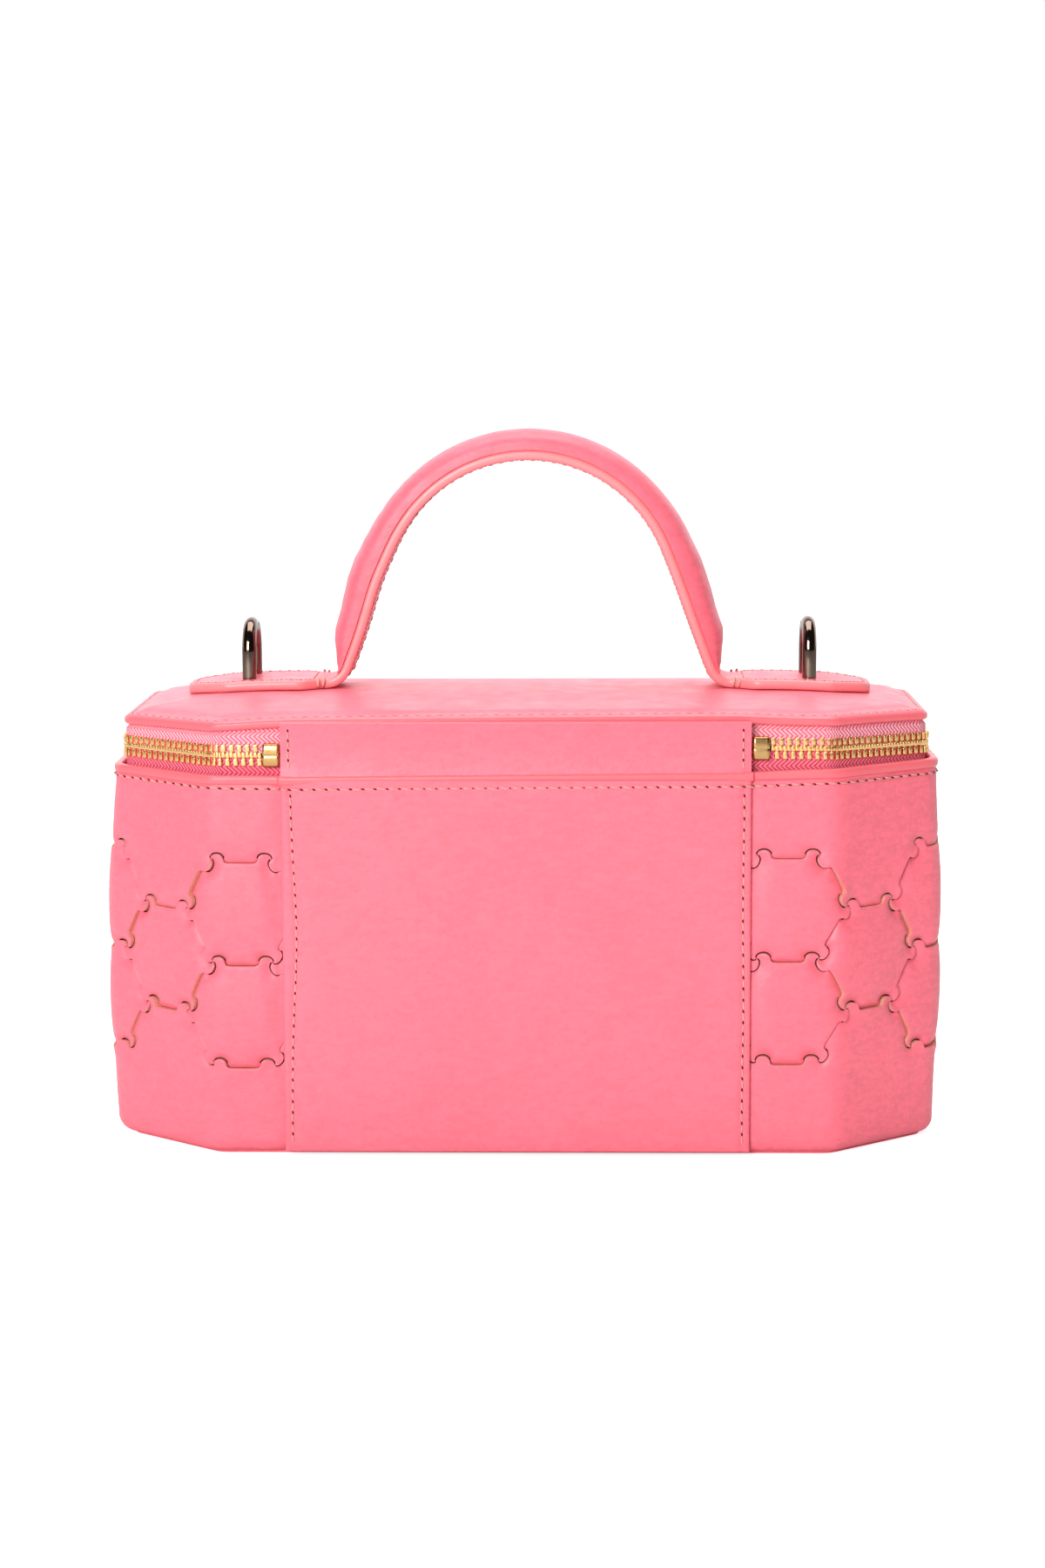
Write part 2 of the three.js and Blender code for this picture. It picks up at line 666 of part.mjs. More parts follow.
const mirrored = (half) => [
  ...half.toReversed().map(({ at, out }) => ({
    at: new THREE.Vector2(-at.x, at.y),
    out: new THREE.Vector2(-out.x, out.y),
  })),
  ...half.slice(1),
];

// A length of handle. section(station) gives its outline as [y, height over the underside].
function handleLength(places, section) {
  const outlines = places.map((p) => section(p).map(([y, h]) => new THREE.Vector2(y, h)));
  const rings = outlines.map((outline, i) =>
    outline.map(({ x: y, y: h }) => {
      const p = places[i].at.clone().addScaledVector(places[i].out, h);
      return new THREE.Vector3(p.x, y, p.y);
    }),
  );
  return loft(rings, [outlines[0], outlines.at(-1)]);
}

const arch = handleStations();
const strapPlaces = mirrored([...arch, ...tabPlaces]);
const strap = handleLength(strapPlaces, (place) => {
  const half = strapHalf({ at: new THREE.Vector2(Math.abs(place.at.x), place.at.y) });
  return strip(-half, half, 0, STRAP);
});
add("handle_strap", cut(strap, ...loopHoles), EDGE_PAINT);

// Half a round bump over the strap: a row of points from one side to the other.
const BUMP_STEPS = 6;
const bump = (half, height) =>
  Array.from({ length: BUMP_STEPS + 1 }, (_, k) => {
    const angle = (Math.PI * k) / BUMP_STEPS;
    return [-half * Math.cos(angle), height * Math.sin(angle) ** 0.7];
  });
const shoulderShare = (z) =>
  THREE.MathUtils.clamp((z - COVER_FOOT) / (COVER_SHOULDER - COVER_FOOT), 0, 1);
const coverPlaces = mirrored(arch.filter(({ at }) => at.y > COVER_FOOT));
const coverBase = STRAP + GAP;
const COVER_END = 2.6; // height of the cover at its feet
const coverHeight = ({ at }) => COVER_END + (PADDING - COVER_END) * shoulderShare(at.y);
const coreHeight = (place) => coverHeight(place) - COVER_SKIN;
add(
  "handle_cover",
  handleLength(coverPlaces, (place) => [
    ...bump(GRIP_HALF, coverHeight(place) - GAP).map(([y, h]) => [y, coverBase + h]),
    ...bump(GRIP_HALF - COVER_SKIN, coreHeight(place) - GAP)
      .toReversed()
      .map(([y, h]) => [y, coverBase + h]),
  ]),
  LEATHER_PINK,
);
const CORE_HALF = GRIP_HALF - COVER_SKIN - 0.3;
add(
  "handle_core",
  handleLength(coverPlaces, (place) =>
    bump(CORE_HALF, coreHeight(place) - 0.4).map(([y, h]) => [y, coverBase + h]),
  ),
  FOAM,
);

// ---- Strap loops and the plates that hold them under the lid board ----
const LOOP_FOOT = 118.25;
function loop(side) {
  const bendSteps = 8;
  const springing = LOOP_TOP - LOOP_WIRE_R - LOOP_HALF;
  const path = [{ y: -LOOP_HALF, z: LOOP_FOOT, tilt: Math.PI }];
  for (let k = 0; k <= bendSteps; k++) {
    const tilt = Math.PI * (1 - k / bendSteps);
    path.push({ y: LOOP_HALF * Math.cos(tilt), z: springing + LOOP_HALF * Math.sin(tilt), tilt });
  }
  path.push({ y: LOOP_HALF, z: LOOP_FOOT, tilt: 0 });
  const wire = Array.from({ length: 9 }, (_, k) => (2 * Math.PI * k) / 9);
  const outline = wire.map((a) => new THREE.Vector2(Math.cos(a), Math.sin(a)));
  const rings = path.map(({ y, z, tilt }) =>
    outline.map(
      (p) =>
        new THREE.Vector3(
          side * LOOP_X + LOOP_WIRE_R * p.x,
          y + LOOP_WIRE_R * p.y * Math.cos(tilt),
          z + LOOP_WIRE_R * p.y * Math.sin(tilt),
        ),
    ),
  );
  return loft(rings, [outline, outline]);
}

for (const [side, word] of [
  [1, "right"],
  [-1, "left"],
]) {
  add(`strap_loop_${word}`, loop(side), PALE_GOLD);
  const plate = box(side * LOOP_X - 5, side * LOOP_X + 5, -12, 12, 118.2, 118.8);
  add(`loop_plate_${word}`, cut(plate, ...loopHoles), BRASS);
}

export default part;
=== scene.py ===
import math

import bmesh
import bpy
import numpy as np
from mathutils import Matrix, Vector
from mathutils.geometry import delaunay_2d_cdt


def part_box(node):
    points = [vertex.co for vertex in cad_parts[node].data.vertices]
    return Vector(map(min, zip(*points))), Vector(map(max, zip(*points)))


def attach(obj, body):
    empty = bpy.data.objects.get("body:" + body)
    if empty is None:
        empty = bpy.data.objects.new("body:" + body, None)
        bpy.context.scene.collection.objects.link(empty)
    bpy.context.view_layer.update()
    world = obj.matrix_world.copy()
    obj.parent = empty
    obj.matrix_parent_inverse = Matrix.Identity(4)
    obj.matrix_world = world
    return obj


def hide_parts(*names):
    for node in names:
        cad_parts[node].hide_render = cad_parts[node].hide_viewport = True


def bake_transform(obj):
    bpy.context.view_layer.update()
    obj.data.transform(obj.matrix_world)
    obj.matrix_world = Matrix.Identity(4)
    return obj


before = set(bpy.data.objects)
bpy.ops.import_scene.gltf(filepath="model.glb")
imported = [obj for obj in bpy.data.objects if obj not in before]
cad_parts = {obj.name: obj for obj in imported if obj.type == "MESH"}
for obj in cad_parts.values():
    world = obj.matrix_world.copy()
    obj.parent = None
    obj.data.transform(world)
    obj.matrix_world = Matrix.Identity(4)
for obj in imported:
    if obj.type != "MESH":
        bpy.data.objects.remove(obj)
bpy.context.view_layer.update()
MM = 0.001
random = np.random.default_rng(7)


def low(node):
    return np.array(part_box(node)[0]) / MM


def high(node):
    return np.array(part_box(node)[1]) / MM


# ---- Driving dimensions, most of them the same as the CAD's ----
WIDTH = high("upper_wrap")[0] * 2
DEPTH = high("upper_wrap")[1] * 2
LONG_HALF = 86.0
SIDE_HALF = 29.5
CORNER_R = 9.0
MIN_CORNER_R = 0.8
RIM_BOTTOM = low("rim_binding")[2]
RIM_TOP = high("rim_binding")[2]
WALL_BOTTOM = low("lower_wrap")[2] - 0.7  # the leather sags a little below its nominal edge
ZIP_MID = 112.6
LID_BOTTOM = low("lid_board")[2]
LID_INSET = 2.7
LID_EDGE_TOP = 121.2
LID_CROWN = 4.2
CROWN_RUN = 46.0
PANEL_HALF = (high("back_panel")[0] - low("back_panel")[0]) / 2
PANEL_MID = (high("back_panel")[0] + low("back_panel")[0]) / 2
TILE_COLUMNS = 19
TILE_HEIGHT = 28.75
TILE_MID = 55.6
TILE_FIRST = 74.5  # first column, from the middle of the panel
TILE_CUSHION = 1.0  # how far a tile's middle swells
FOLD = 3.7  # radius with which the wall leather turns under the case
CLAD_END = 60.5  # the cladding is cut off here, under the back panel
HANDLE_MID = 0.7  # the handle and the loops sit this far off the middle

# ---- Colours ----


def colour(code, gain=1.0):
    """A web colour as the linear numbers a shader wants."""
    parts = [int(code[i : i + 2], 16) / 255 for i in (1, 3, 5)]
    linear = [p / 12.92 if p <= 0.04045 else ((p + 0.055) / 1.055) ** 2.4 for p in parts]
    return (*[min(p * gain, 1.0) for p in linear], 1.0)


PINK = "#F66F80"
CORAL = "#EE656F"
RAW = "#DA9A84"
THREAD = "#EDA596"

# ---- Material building blocks ----


class Shader:
    """A new material and short ways to wire its nodes."""

    def __init__(self, name, base, roughness, metallic=0.0):
        self.material = bpy.data.materials.new(name)
        self.material.use_nodes = True
        self.tree = self.material.node_tree
        self.bsdf = self.tree.nodes["Principled BSDF"]
        self.set("Base Color", base)
        self.set("Roughness", roughness)
        self.set("Metallic", metallic)
        self.place = self.node("ShaderNodeTexCoord").outputs["Object"]
        self.uv = self.tree.nodes["Texture Coordinate"].outputs["UV"]

    def node(self, kind, **values):
        node = self.tree.nodes.new(kind)
        for key, value in values.items():
            setattr(node, key, value)
        return node

    def set(self, socket, value):
        self.link(value, self.bsdf.inputs[socket])

    def link(self, source, target):
        if isinstance(source, bpy.types.NodeSocket):
            self.tree.links.new(source, target)
        else:
            target.default_value = source

    def noise(self, scale, detail=2.0, where=None, distortion=0.0):
        node = self.node("ShaderNodeTexNoise")
        node.inputs["Scale"].default_value = scale
        node.inputs["Detail"].default_value = detail
        node.inputs["Distortion"].default_value = distortion
        self.link(where or self.place, node.inputs["Vector"])
        return node.outputs["Fac"]

    def cells(self, scale, feature="SMOOTH_F1", where=None):
        node = self.node("ShaderNodeTexVoronoi", feature=feature)
        node.inputs["Scale"].default_value = scale
        self.link(where or self.place, node.inputs["Vector"])
        return node.outputs["Distance"]

    def math(self, operation, a, b=0.0, c=0.0):
        node = self.node("ShaderNodeMath", operation=operation)
        for socket, value in zip(node.inputs, (a, b, c)):
            self.link(value, socket)
        return node.outputs[0]

    def spread(self, value, low_in, high_in, low_out, high_out):
        node = self.node("ShaderNodeMapRange")
        for key, v in zip(("Value", "From Min", "From Max", "To Min", "To Max"),
                          (value, low_in, high_in, low_out, high_out)):
            self.link(v, node.inputs[key])
        return node.outputs[0]

    def mix(self, factor, a, b):
        node = self.node("ShaderNodeMix", data_type="RGBA")
        self.link(factor, node.inputs[0])
        self.link(a, node.inputs[6])
        self.link(b, node.inputs[7])
        return node.outputs[2]

    def bump(self, height, strength, distance, under=None):
        node = self.node("ShaderNodeBump")
        node.inputs["Strength"].default_value = strength
        node.inputs["Distance"].default_value = distance * MM
        self.link(height, node.inputs["Height"])
        if under:
            self.link(under, node.inputs["Normal"])
        return node.outputs[0]


def leather(name, code, gain=1.0, roughness=0.42):
    """Fine-grained smooth leather: pebbles, soft creases, slight colour and gloss changes."""
    s = Shader(name, colour(code), roughness)
    pebbles = s.cells(1150)
    grain = s.noise(2500, 3)
    fine = s.math("ADD", s.math("MULTIPLY", pebbles, 0.8), s.math("MULTIPLY", grain, 0.5))
    along = s.node("ShaderNodeMapping")
    along.inputs["Scale"].default_value = (260, 260, 680)
    s.link(s.place, along.inputs["Vector"])
    streaks = s.noise(1.0, 3, where=along.outputs[0], distortion=0.7)
    wrinkles = s.bump(streaks, 0.4, 0.22)
    creases = s.bump(s.noise(55, 3, distortion=0.6), 0.5, 0.6, wrinkles)
    s.set("Normal", s.bump(fine, 0.38, 0.15, creases))
    patches = s.spread(s.noise(30, 4), 0.35, 0.65, 0.25, 0.75)
    mottle = s.spread(s.noise(620, 3), 0.35, 0.65, -0.25, 0.25)
    patches = s.math("ADD", patches, mottle)
    patches = s.math("ADD", patches, s.spread(streaks, 0.35, 0.65, -0.45, 0.45))
    tone = s.mix(patches, colour(code, gain * 0.925), colour(code, gain * 1.065))
    hollows = s.spread(pebbles, 0.1, 0.6, 0.0, 0.16)
    s.set("Base Color", s.mix(hollows, tone, colour(code, gain * 0.7)))
    s.set("Roughness", s.spread(s.noise(160, 3), 0.3, 0.7, roughness - 0.05, roughness + 0.08))
    s.set("Specular IOR Level", 0.42)
    s.set("Sheen Weight", 0.05)
    return s.material


def edge_paint(name, code):
    """Thick, slightly uneven paint along a cut leather edge."""
    s = Shader(name, colour(code), 0.38)
    waves = s.noise(130, 2)
    s.set("Normal", s.bump(waves, 0.4, 0.25, s.bump(s.noise(900, 2), 0.15, 0.05)))
    s.set("Base Color", s.mix(s.noise(240, 3), colour(code, 0.96), colour(code, 1.04)))
    s.set("Roughness", s.spread(s.noise(220, 2), 0.3, 0.7, 0.32, 0.46))
    s.set("Coat Weight", 0.15)
    s.set("Coat Roughness", 0.2)
    return s.material


def raw_edge():
    """The bare cut edge of the leather, fibrous and tan."""
    s = Shader("raw_leather_edge", colour(RAW), 0.9)
    fibres = s.noise(1800, 5, distortion=1.5)
    s.set("Base Color", s.mix(fibres, colour("#BC6B5B"), colour("#EDB39D")))
    s.set("Normal", s.bump(fibres, 0.6, 0.2))
    return s.material


def thread():
    """Twisted sewing thread. UV x runs along a stitch and y round it."""
    s = Shader("thread", colour(THREAD), 0.6)
    twist = s.node("ShaderNodeTexWave", wave_type="BANDS", bands_direction="DIAGONAL")
    twist.inputs["Scale"].default_value = 3.0
    s.link(s.uv, twist.inputs["Vector"])
    s.set("Base Color", s.mix(twist.outputs["Fac"], colour("#D68478"), colour("#F6BFAE")))
    s.set("Normal", s.bump(twist.outputs["Fac"], 0.8, 0.08))
    s.set("Sheen Weight", 0.3)
    return s.material


# Needle holes are drawn as flat dark discs just above the leather: painted shade for the holes.
def needle_hole_shade():
    s = Shader("needle_hole_shade", colour("#5A1420"), 1.0)
    s.set("Base Color", s.mix(s.noise(2500, 2), colour("#4A0F1A"), colour("#7C2433")))
    s.set("Specular IOR Level", 0.1)
    return s.material


def zip_tape(name, valley, ridge_colour):
    """Herringbone tape. UV x runs along the tape and y up it, both in millimetres."""
    s = Shader(name, colour(ridge_colour), 0.75)
    parts = s.node("ShaderNodeSeparateXYZ")
    s.link(s.uv, parts.inputs[0])
    u, v = parts.outputs[0], parts.outputs[1]
    rib = s.math("PINGPONG", v, 1.7)
    slant = s.math("ADD", u, s.math("MULTIPLY", rib, 1.1))
    yarn = s.math("SINE", s.math("MULTIPLY", slant, 2 * math.pi / 1.3))
    ridge = s.math("MULTIPLY_ADD", yarn, 0.5, 0.5)
    fuzz = s.noise(3500, 3)
    height = s.math("ADD", ridge, s.math("MULTIPLY", fuzz, 0.5))
    s.set("Normal", s.bump(height, 0.9, 0.3))
    s.set("Base Color", s.mix(ridge, colour(valley), colour(ridge_colour)))
    s.set("Specular IOR Level", 0.15)
    s.set("Sheen Weight", 0.05)
    return s.material


def suede(name, code):
    s = Shader(name, colour(code), 0.92)
    nap = s.noise(700, 6, distortion=0.8)
    brushed = s.noise(35, 3, distortion=1.0)
    s.set("Base Color", s.mix(brushed, colour(code, 0.86), colour(code, 1.12)))
    s.set("Normal", s.bump(nap, 0.5, 0.15))
    s.set("Sheen Weight", 0.6)
    s.set("Sheen Roughness", 0.4)
    return s.material


# Fibreboard in its own brown-red, made darker to paint the shade in the gaps between the leather
# tiles over it.
def board():
    s = Shader("fibreboard_darkened_for_gap_shade", colour("#6E3F3B"), 0.9)
    fibres = s.noise(500, 6, distortion=2.0)
    s.set("Base Color", s.mix(fibres, colour("#54302E"), colour("#7E5048")))
    s.set("Normal", s.bump(fibres, 0.4, 0.2))
    return s.material


def foam():
    s = Shader("foam", colour("#EFE4D6"), 0.95)
    pores = s.cells(1200, "F1")
    s.set("Base Color", s.mix(pores, colour("#CDBFAE"), colour("#F4EBDF")))
    s.set("Normal", s.bump(pores, 0.5, 0.2))
    return s.material


def metal(name, code, roughness, scratches=0.06):
    """Polished metal with faint hairlines and smudges."""
    s = Shader(name, colour(code), roughness, 1.0)
    hairlines = s.node("ShaderNodeMapping")
    hairlines.inputs["Scale"].default_value = (400, 400, 5000)
    s.link(s.place, hairlines.inputs["Vector"])
    lines = s.noise(1.0, 2, where=hairlines.outputs[0])
    smudges = s.noise(260, 3)
    s.set("Roughness", s.spread(smudges, 0.3, 0.7, roughness * 0.8, roughness * 1.4))
    s.set("Base Color", s.mix(smudges, colour(code, 0.93), colour(code, 1.05)))
    s.set("Normal", s.bump(lines, scratches, 0.03))
    return s.material


def mirror_glass():
    s = Shader("mirror_glass", (0.86, 0.88, 0.89, 1), 0.02, 1.0)
    s.set("Roughness", s.spread(s.noise(40, 4), 0.4, 0.8, 0.01, 0.05))
    return s.material


def floor_finish():
    """Pale paper that reads as a bright studio floor without throwing its light back."""
    s = Shader("floor_paper", (0.8, 0.8, 0.8, 1), 0.8)
    s.set("Base Color", s.mix(s.noise(14, 3), (0.78, 0.78, 0.78, 1), (0.82, 0.82, 0.82, 1)))
    s.set("Normal", s.bump(s.noise(600, 3), 0.05, 0.1))
    s.set("Emission Color", (1, 1, 1, 1))
    rays = s.node("ShaderNodeLightPath")
    s.set("Emission Strength", s.math("MULTIPLY", rays.outputs["Is Camera Ray"], 0.7))
    return s.material


LEATHER = leather("pink_leather", PINK)
LEATHER_BACK = leather("pink_leather_panel", PINK, 1.0, 0.4)
# The handle is the same pink leather, made 10% darker as painted shade for the padded cover
# turning away from the light.
SHADED_LEATHER_HANDLE = leather("pink_leather_handle_painted_shade", PINK, 0.9)
EDGE = edge_paint("coral_edge_paint", CORAL)
# The strap's edges carry the same coral paint as the rim, lightened here as a painted highlight.
LIT_STRAP_EDGE = edge_paint("strap_edge_paint_painted_highlight", "#F0888B")
RAW_EDGE = raw_edge()
STITCH = thread()
HOLE_SHADE = needle_hole_shade()
# Both tapes are the same pink tape. The lower one is darker and redder, partly its own colour
# and partly painted shade under the rim and lid; the upper one is lightened as painted light, to
# offset the shade where it sits recessed under the lid.
SHADED_TAPE_LOW = zip_tape("zip_tape_low_painted_shade", "#D93C5C", "#FF8D9E")
LIGHTENED_TAPE_TOP = zip_tape("zip_tape_top_painted_light", "#F0607B", "#FFC2CB")
SUEDE = suede("suede_lining", "#E9909B")
BOARD_GAP_SHADE = board()
FOAM = foam()
BRASS = metal("brass", "#F0C283", 0.22)
CLAMP = metal("clamp_brass", "#C69E68", 0.24)
# The loops' gold is darkened to paint in the dark surroundings that the small loops reflect.
GOLD_PAINTED_REFLECTION = metal("gold_painted_dark_reflection", "#7A685C", 0.1, 0.03)
MIRROR = mirror_glass()

# ---- Meshes ----


def mesh(name, points, faces, materials, face_materials=None, uv=None, sharp=40):
    """A piece from millimetre points. uv holds one pair a point."""
    data = bpy.data.meshes.new(name)
    data.from_pydata((np.asarray(points, float) * MM).tolist(), [], [list(f) for f in faces])
    for material in materials:
        data.materials.append(material)
    if face_materials is not None:
        data.polygons.foreach_set("material_index", np.asarray(face_materials, dtype=np.int32))
    if uv is not None:
        layer = data.uv_layers.new(name="uv")
        loops = np.empty(len(data.loops), dtype=np.int32)
        data.loops.foreach_get("vertex_index", loops)
        layer.data.foreach_set("uv", np.asarray(uv, dtype=np.float32)[loops].ravel())
    data.polygons.foreach_set("use_smooth", np.ones(len(data.polygons), dtype=bool))
    data.set_sharp_from_angle(angle=math.radians(sharp))
    data.update()
    piece = bpy.data.objects.new(name, data)
    bpy.context.collection.objects.link(piece)
    return piece


def fit_out(piece, body, slot_name, *nodes):
    """Ties a piece to its body, and hides the CAD nodes it stands for. slot_name is not used."""
    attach(piece, body)
    if nodes:
        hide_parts(*nodes)
    return piece


def grid_faces(rows, columns, close_rows=False, close_columns=True):
    """Quads over a grid of points stored row by row."""
    faces = []
    for i in range(rows if close_rows else rows - 1):
        for j in range(columns if close_columns else columns - 1):
            a, b = i * columns, ((i + 1) % rows) * columns
            k = (j + 1) % columns
            faces.append((a + j, a + k, b + k, b + j))
    return faces


def end_faces(rows, columns):
    """The first and the last ring of such a grid, each as one face."""
    return [tuple(range(columns))[::-1], tuple(range((rows - 1) * columns, rows * columns))]


def sections(name, rings, materials, ring_materials=None, uv=None, closed=False, sharp=40):
    """A skin through closed rings of equal length, with flat ends unless it closes on itself.
    ring_materials names the material of each lengthwise strip."""
    rings = np.asarray(rings, float)
    rows, columns = rings.shape[:2]
    faces = grid_faces(rows, columns, closed)
    kinds = [ring_materials[i % columns] if ring_materials else 0 for i in range(len(faces))]
    if not closed:
        faces += end_faces(rows, columns)
        kinds += [0, 0]
    points = rings.reshape(-1, 3)
    piece = mesh(name, points, faces, materials, kinds, uv, sharp)
    face_out(piece)
    return piece


def face_out(piece):
    """Turns every face of a closed piece outwards."""
    work = bmesh.new()
    work.from_mesh(piece.data)
    bmesh.ops.recalc_face_normals(work, faces=work.faces)
    work.to_mesh(piece.data)
    work.free()


# ---- The eight-sided wall, unrolled ----
CORNERS = np.array([
    [LONG_HALF, -DEPTH / 2], [WIDTH / 2, -SIDE_HALF], [WIDTH / 2, SIDE_HALF],
    [LONG_HALF, DEPTH / 2], [-LONG_HALF, DEPTH / 2], [-WIDTH / 2, SIDE_HALF],
    [-WIDTH / 2, -SIDE_HALF], [-LONG_HALF, -DEPTH / 2],
])


def unit(v):
    v = np.asarray(v, float)
    return v / np.linalg.norm(v, axis=-1, keepdims=True)


def left_of(v):
    return np.array([-v[1], v[0]])


def bends(inset):
    """Start point, centre, first angle, turn and radius of each bend of the outline set in."""
    radius = max(CORNER_R - inset, MIN_CORNER_R)
    found = []
    for i, corner in enumerate(CORNERS):
        coming = unit(corner - CORNERS[i - 1])
        going = unit(CORNERS[(i + 1) % 8] - corner)
        n1, n2 = left_of(coming), left_of(going)
        moved = corner + (n1 + n2) * inset / (1 + n1 @ n2)
        turn = math.acos(coming @ going)
        start = moved - coming * radius * math.tan(turn / 2)
        centre = start + n1 * radius
        found.append((start, centre, math.atan2(-n1[1], -n1[0]), turn, radius, coming))
    return found


def outline_path():
    """The wall's outline as straight and bent lengths, from the middle of the hinge side."""
    path = []
    at = np.array([0.0, -DEPTH / 2])
    s = 0.0
    for start, centre, angle, turn, radius, coming in bends(0):
        run = np.linalg.norm(start - at)
        path.append(("straight", s, run, at, coming))
        s += run
        path.append(("bend", s, turn * radius, centre, angle))
        s += turn * radius
        at = centre + radius * np.array([math.cos(angle + turn), math.sin(angle + turn)])
    path.append(("straight", s, -at[0], at, np.array([1.0, 0.0])))
    return path, s - at[0]


PATH, PERIMETER = outline_path()


def on_wall(s, n, z):
    """Points at distance s along the wall, n out of it and at height z."""
    s, n, z = np.broadcast_arrays(*[np.asarray(v, float) for v in (s, n, z)])
    s = np.mod(s, PERIMETER)
    x, y = np.zeros_like(s), np.zeros_like(s)
    for kind, start, length, origin, heading in PATH:
        here = (s >= start - 1e-9) & (s <= start + length + 1e-9)
        along = s[here] - start
        if kind == "straight":
            x[here] = origin[0] + heading[0] * along + heading[1] * n[here]
            y[here] = origin[1] + heading[1] * along - heading[0] * n[here]
        else:
            angle = heading + along / CORNER_R
            x[here] = origin[0] + np.cos(angle) * (CORNER_R + n[here])
            y[here] = origin[1] + np.sin(angle) * (CORNER_R + n[here])
    return np.stack([x, y, z], axis=-1)


def wall_normal(s):
    return on_wall(s, 1, 0) - on_wall(s, 0, 0)


def from_panel(s):
    """Distance along the wall from the middle of the back panel."""
    away = np.mod(np.asarray(s, float) - PANEL_MID, PERIMETER)
    return np.minimum(away, PERIMETER - away)


# The case is hand made: its zip, rim and lid edge each wander a little in height. Each pair is
# a place along the wall, measured both ways from the middle of the back, and a shift.
ZIP_SWAY = ((-210, 0), (-125, -0.9), (-64, -0.95), (64, 0.9), (86, 0.7), (125, -0.45), (210, 0))
RIM_SWAY = ((-210, 0), (-125, -0.3), (-66, -0.55), (0, 0), (66, 0.25), (90, 0.8), (210, 0))
LID_SWAY = (
    (-210, -0.9), (-125, -1.3), (-85, -0.75), (-66, 0.35), (0, 1.05), (60, 1.4), (72, 0.75),
    (100, 0.4), (130, -0.5), (210, -0.9),
)
SEAM_SWAY = ((-210, 0), (-125, 0.2), (-66, -0.5), (0, 0), (66, 0.35), (86, 1.0), (210, 0))

# The woven tiles sit a little lower and nearer the left end beside the panel's left edge.
ASKEW = ((-210, 0), (-125, 0.5), (-75, 1), (-50, 1), (50, 0), (210, 0))
ASKEW_SHIFT = 1.2


def sway(s, shifts):
    """The shift at s, with its kinks rounded off."""
    where, height = zip(*shifts)
    both_ways = np.mod(np.asarray(s, float) + PERIMETER / 2, PERIMETER) - PERIMETER / 2
    return sum(np.interp(both_ways + k, where, height) for k in (-5, -3, -1, 1, 3, 5)) / 6


# How far the soft leather stands out of the stiff walls at the two ends of the case, as pairs of
# a height and a distance.
LEFT_SLACK = (
    (-1.4, 0), (4.4, 1.3), (12, 1.7), (35, 2.1), (62, 2.1), (82, 1.5), (96, 0.6), (102, 0),
)
RIGHT_SLACK = ((-1.4, 0), (20, 0.4), (50, 1.1), (85, 0.6), (102, 0))


def slack(s, z):
    facing = wall_normal(s)[..., 0]
    left, right = [np.interp(z, *zip(*pairs)) for pairs in (LEFT_SLACK, RIGHT_SLACK)]
    return np.where(facing < 0, left, right) * facing ** 2


def folded(s, n, z):
    """As on_wall, but below FOLD over its bottom edge the leather curls under the case."""
    n = n + slack(s, z)
    askew = ASKEW_SHIFT * sway(s, ASKEW)
    s = s - askew
    z = z - askew * np.clip((RIM_BOTTOM - 4 - z) / 15, 0, 1) * np.clip((z - 10) / 14, 0, 1)
    angle = np.clip((WALL_BOTTOM + FOLD - z) / FOLD, 0, math.pi / 2)
    turned = z < WALL_BOTTOM + FOLD
    out = np.where(turned, (FOLD + n) * np.cos(angle) - FOLD, n)
    height = np.where(turned, WALL_BOTTOM + FOLD - (FOLD + n) * np.sin(angle), z)
    return on_wall(s, out, height)


def wall_stations(start, end, step=3.0, extra=()):
    """Places along the wall: even steps, and closer ones round each bend."""
    places = [start, end, *extra]
    for kind, begin, length, _, _ in PATH:
        pieces = 7 if kind == "bend" else max(1, round(length / step))
        places += [begin + length * k / pieces for k in range(pieces + 1)]
    places = np.unique(np.round([p for p in places if start <= p <= end], 3))
    return places[np.insert(np.diff(places) > 0.15, 0, True)]


def wall_band(name, places, section, materials, strip_materials=None, closed=False, sharp=40):
    """A length of moulding along the wall. section(s) is its closed outline as (n, z) points."""
    rings, uv = [], []
    for s in places:
        outline = np.asarray(section(s), float)
        rings.append(on_wall(s, outline[:, 0], outline[:, 1]))
        run = np.cumsum(np.linalg.norm(outline - np.roll(outline, 1, axis=0), axis=1))
        uv += [(s, r) for r in run]
    return sections(name, rings, materials, strip_materials, uv, closed, sharp)


def rounded(n0, n1, z0, z1, radius, steps=3):
    """A rectangle in n and z with rounded corners."""
    corners = [(n1 - radius, z0 + radius, -90), (n1 - radius, z1 - radius, 0),
               (n0 + radius, z1 - radius, 90), (n0 + radius, z0 + radius, 180)]
    points = []
    for n, z, first in corners:
        for k in range(steps + 1):
            angle = math.radians(first + 90 * k / steps)
            points.append((n + radius * math.cos(angle), z + radius * math.sin(angle)))
    return points


# ---- Stitches ----
STITCH_SIDES = 6
STITCH_RINGS = 7


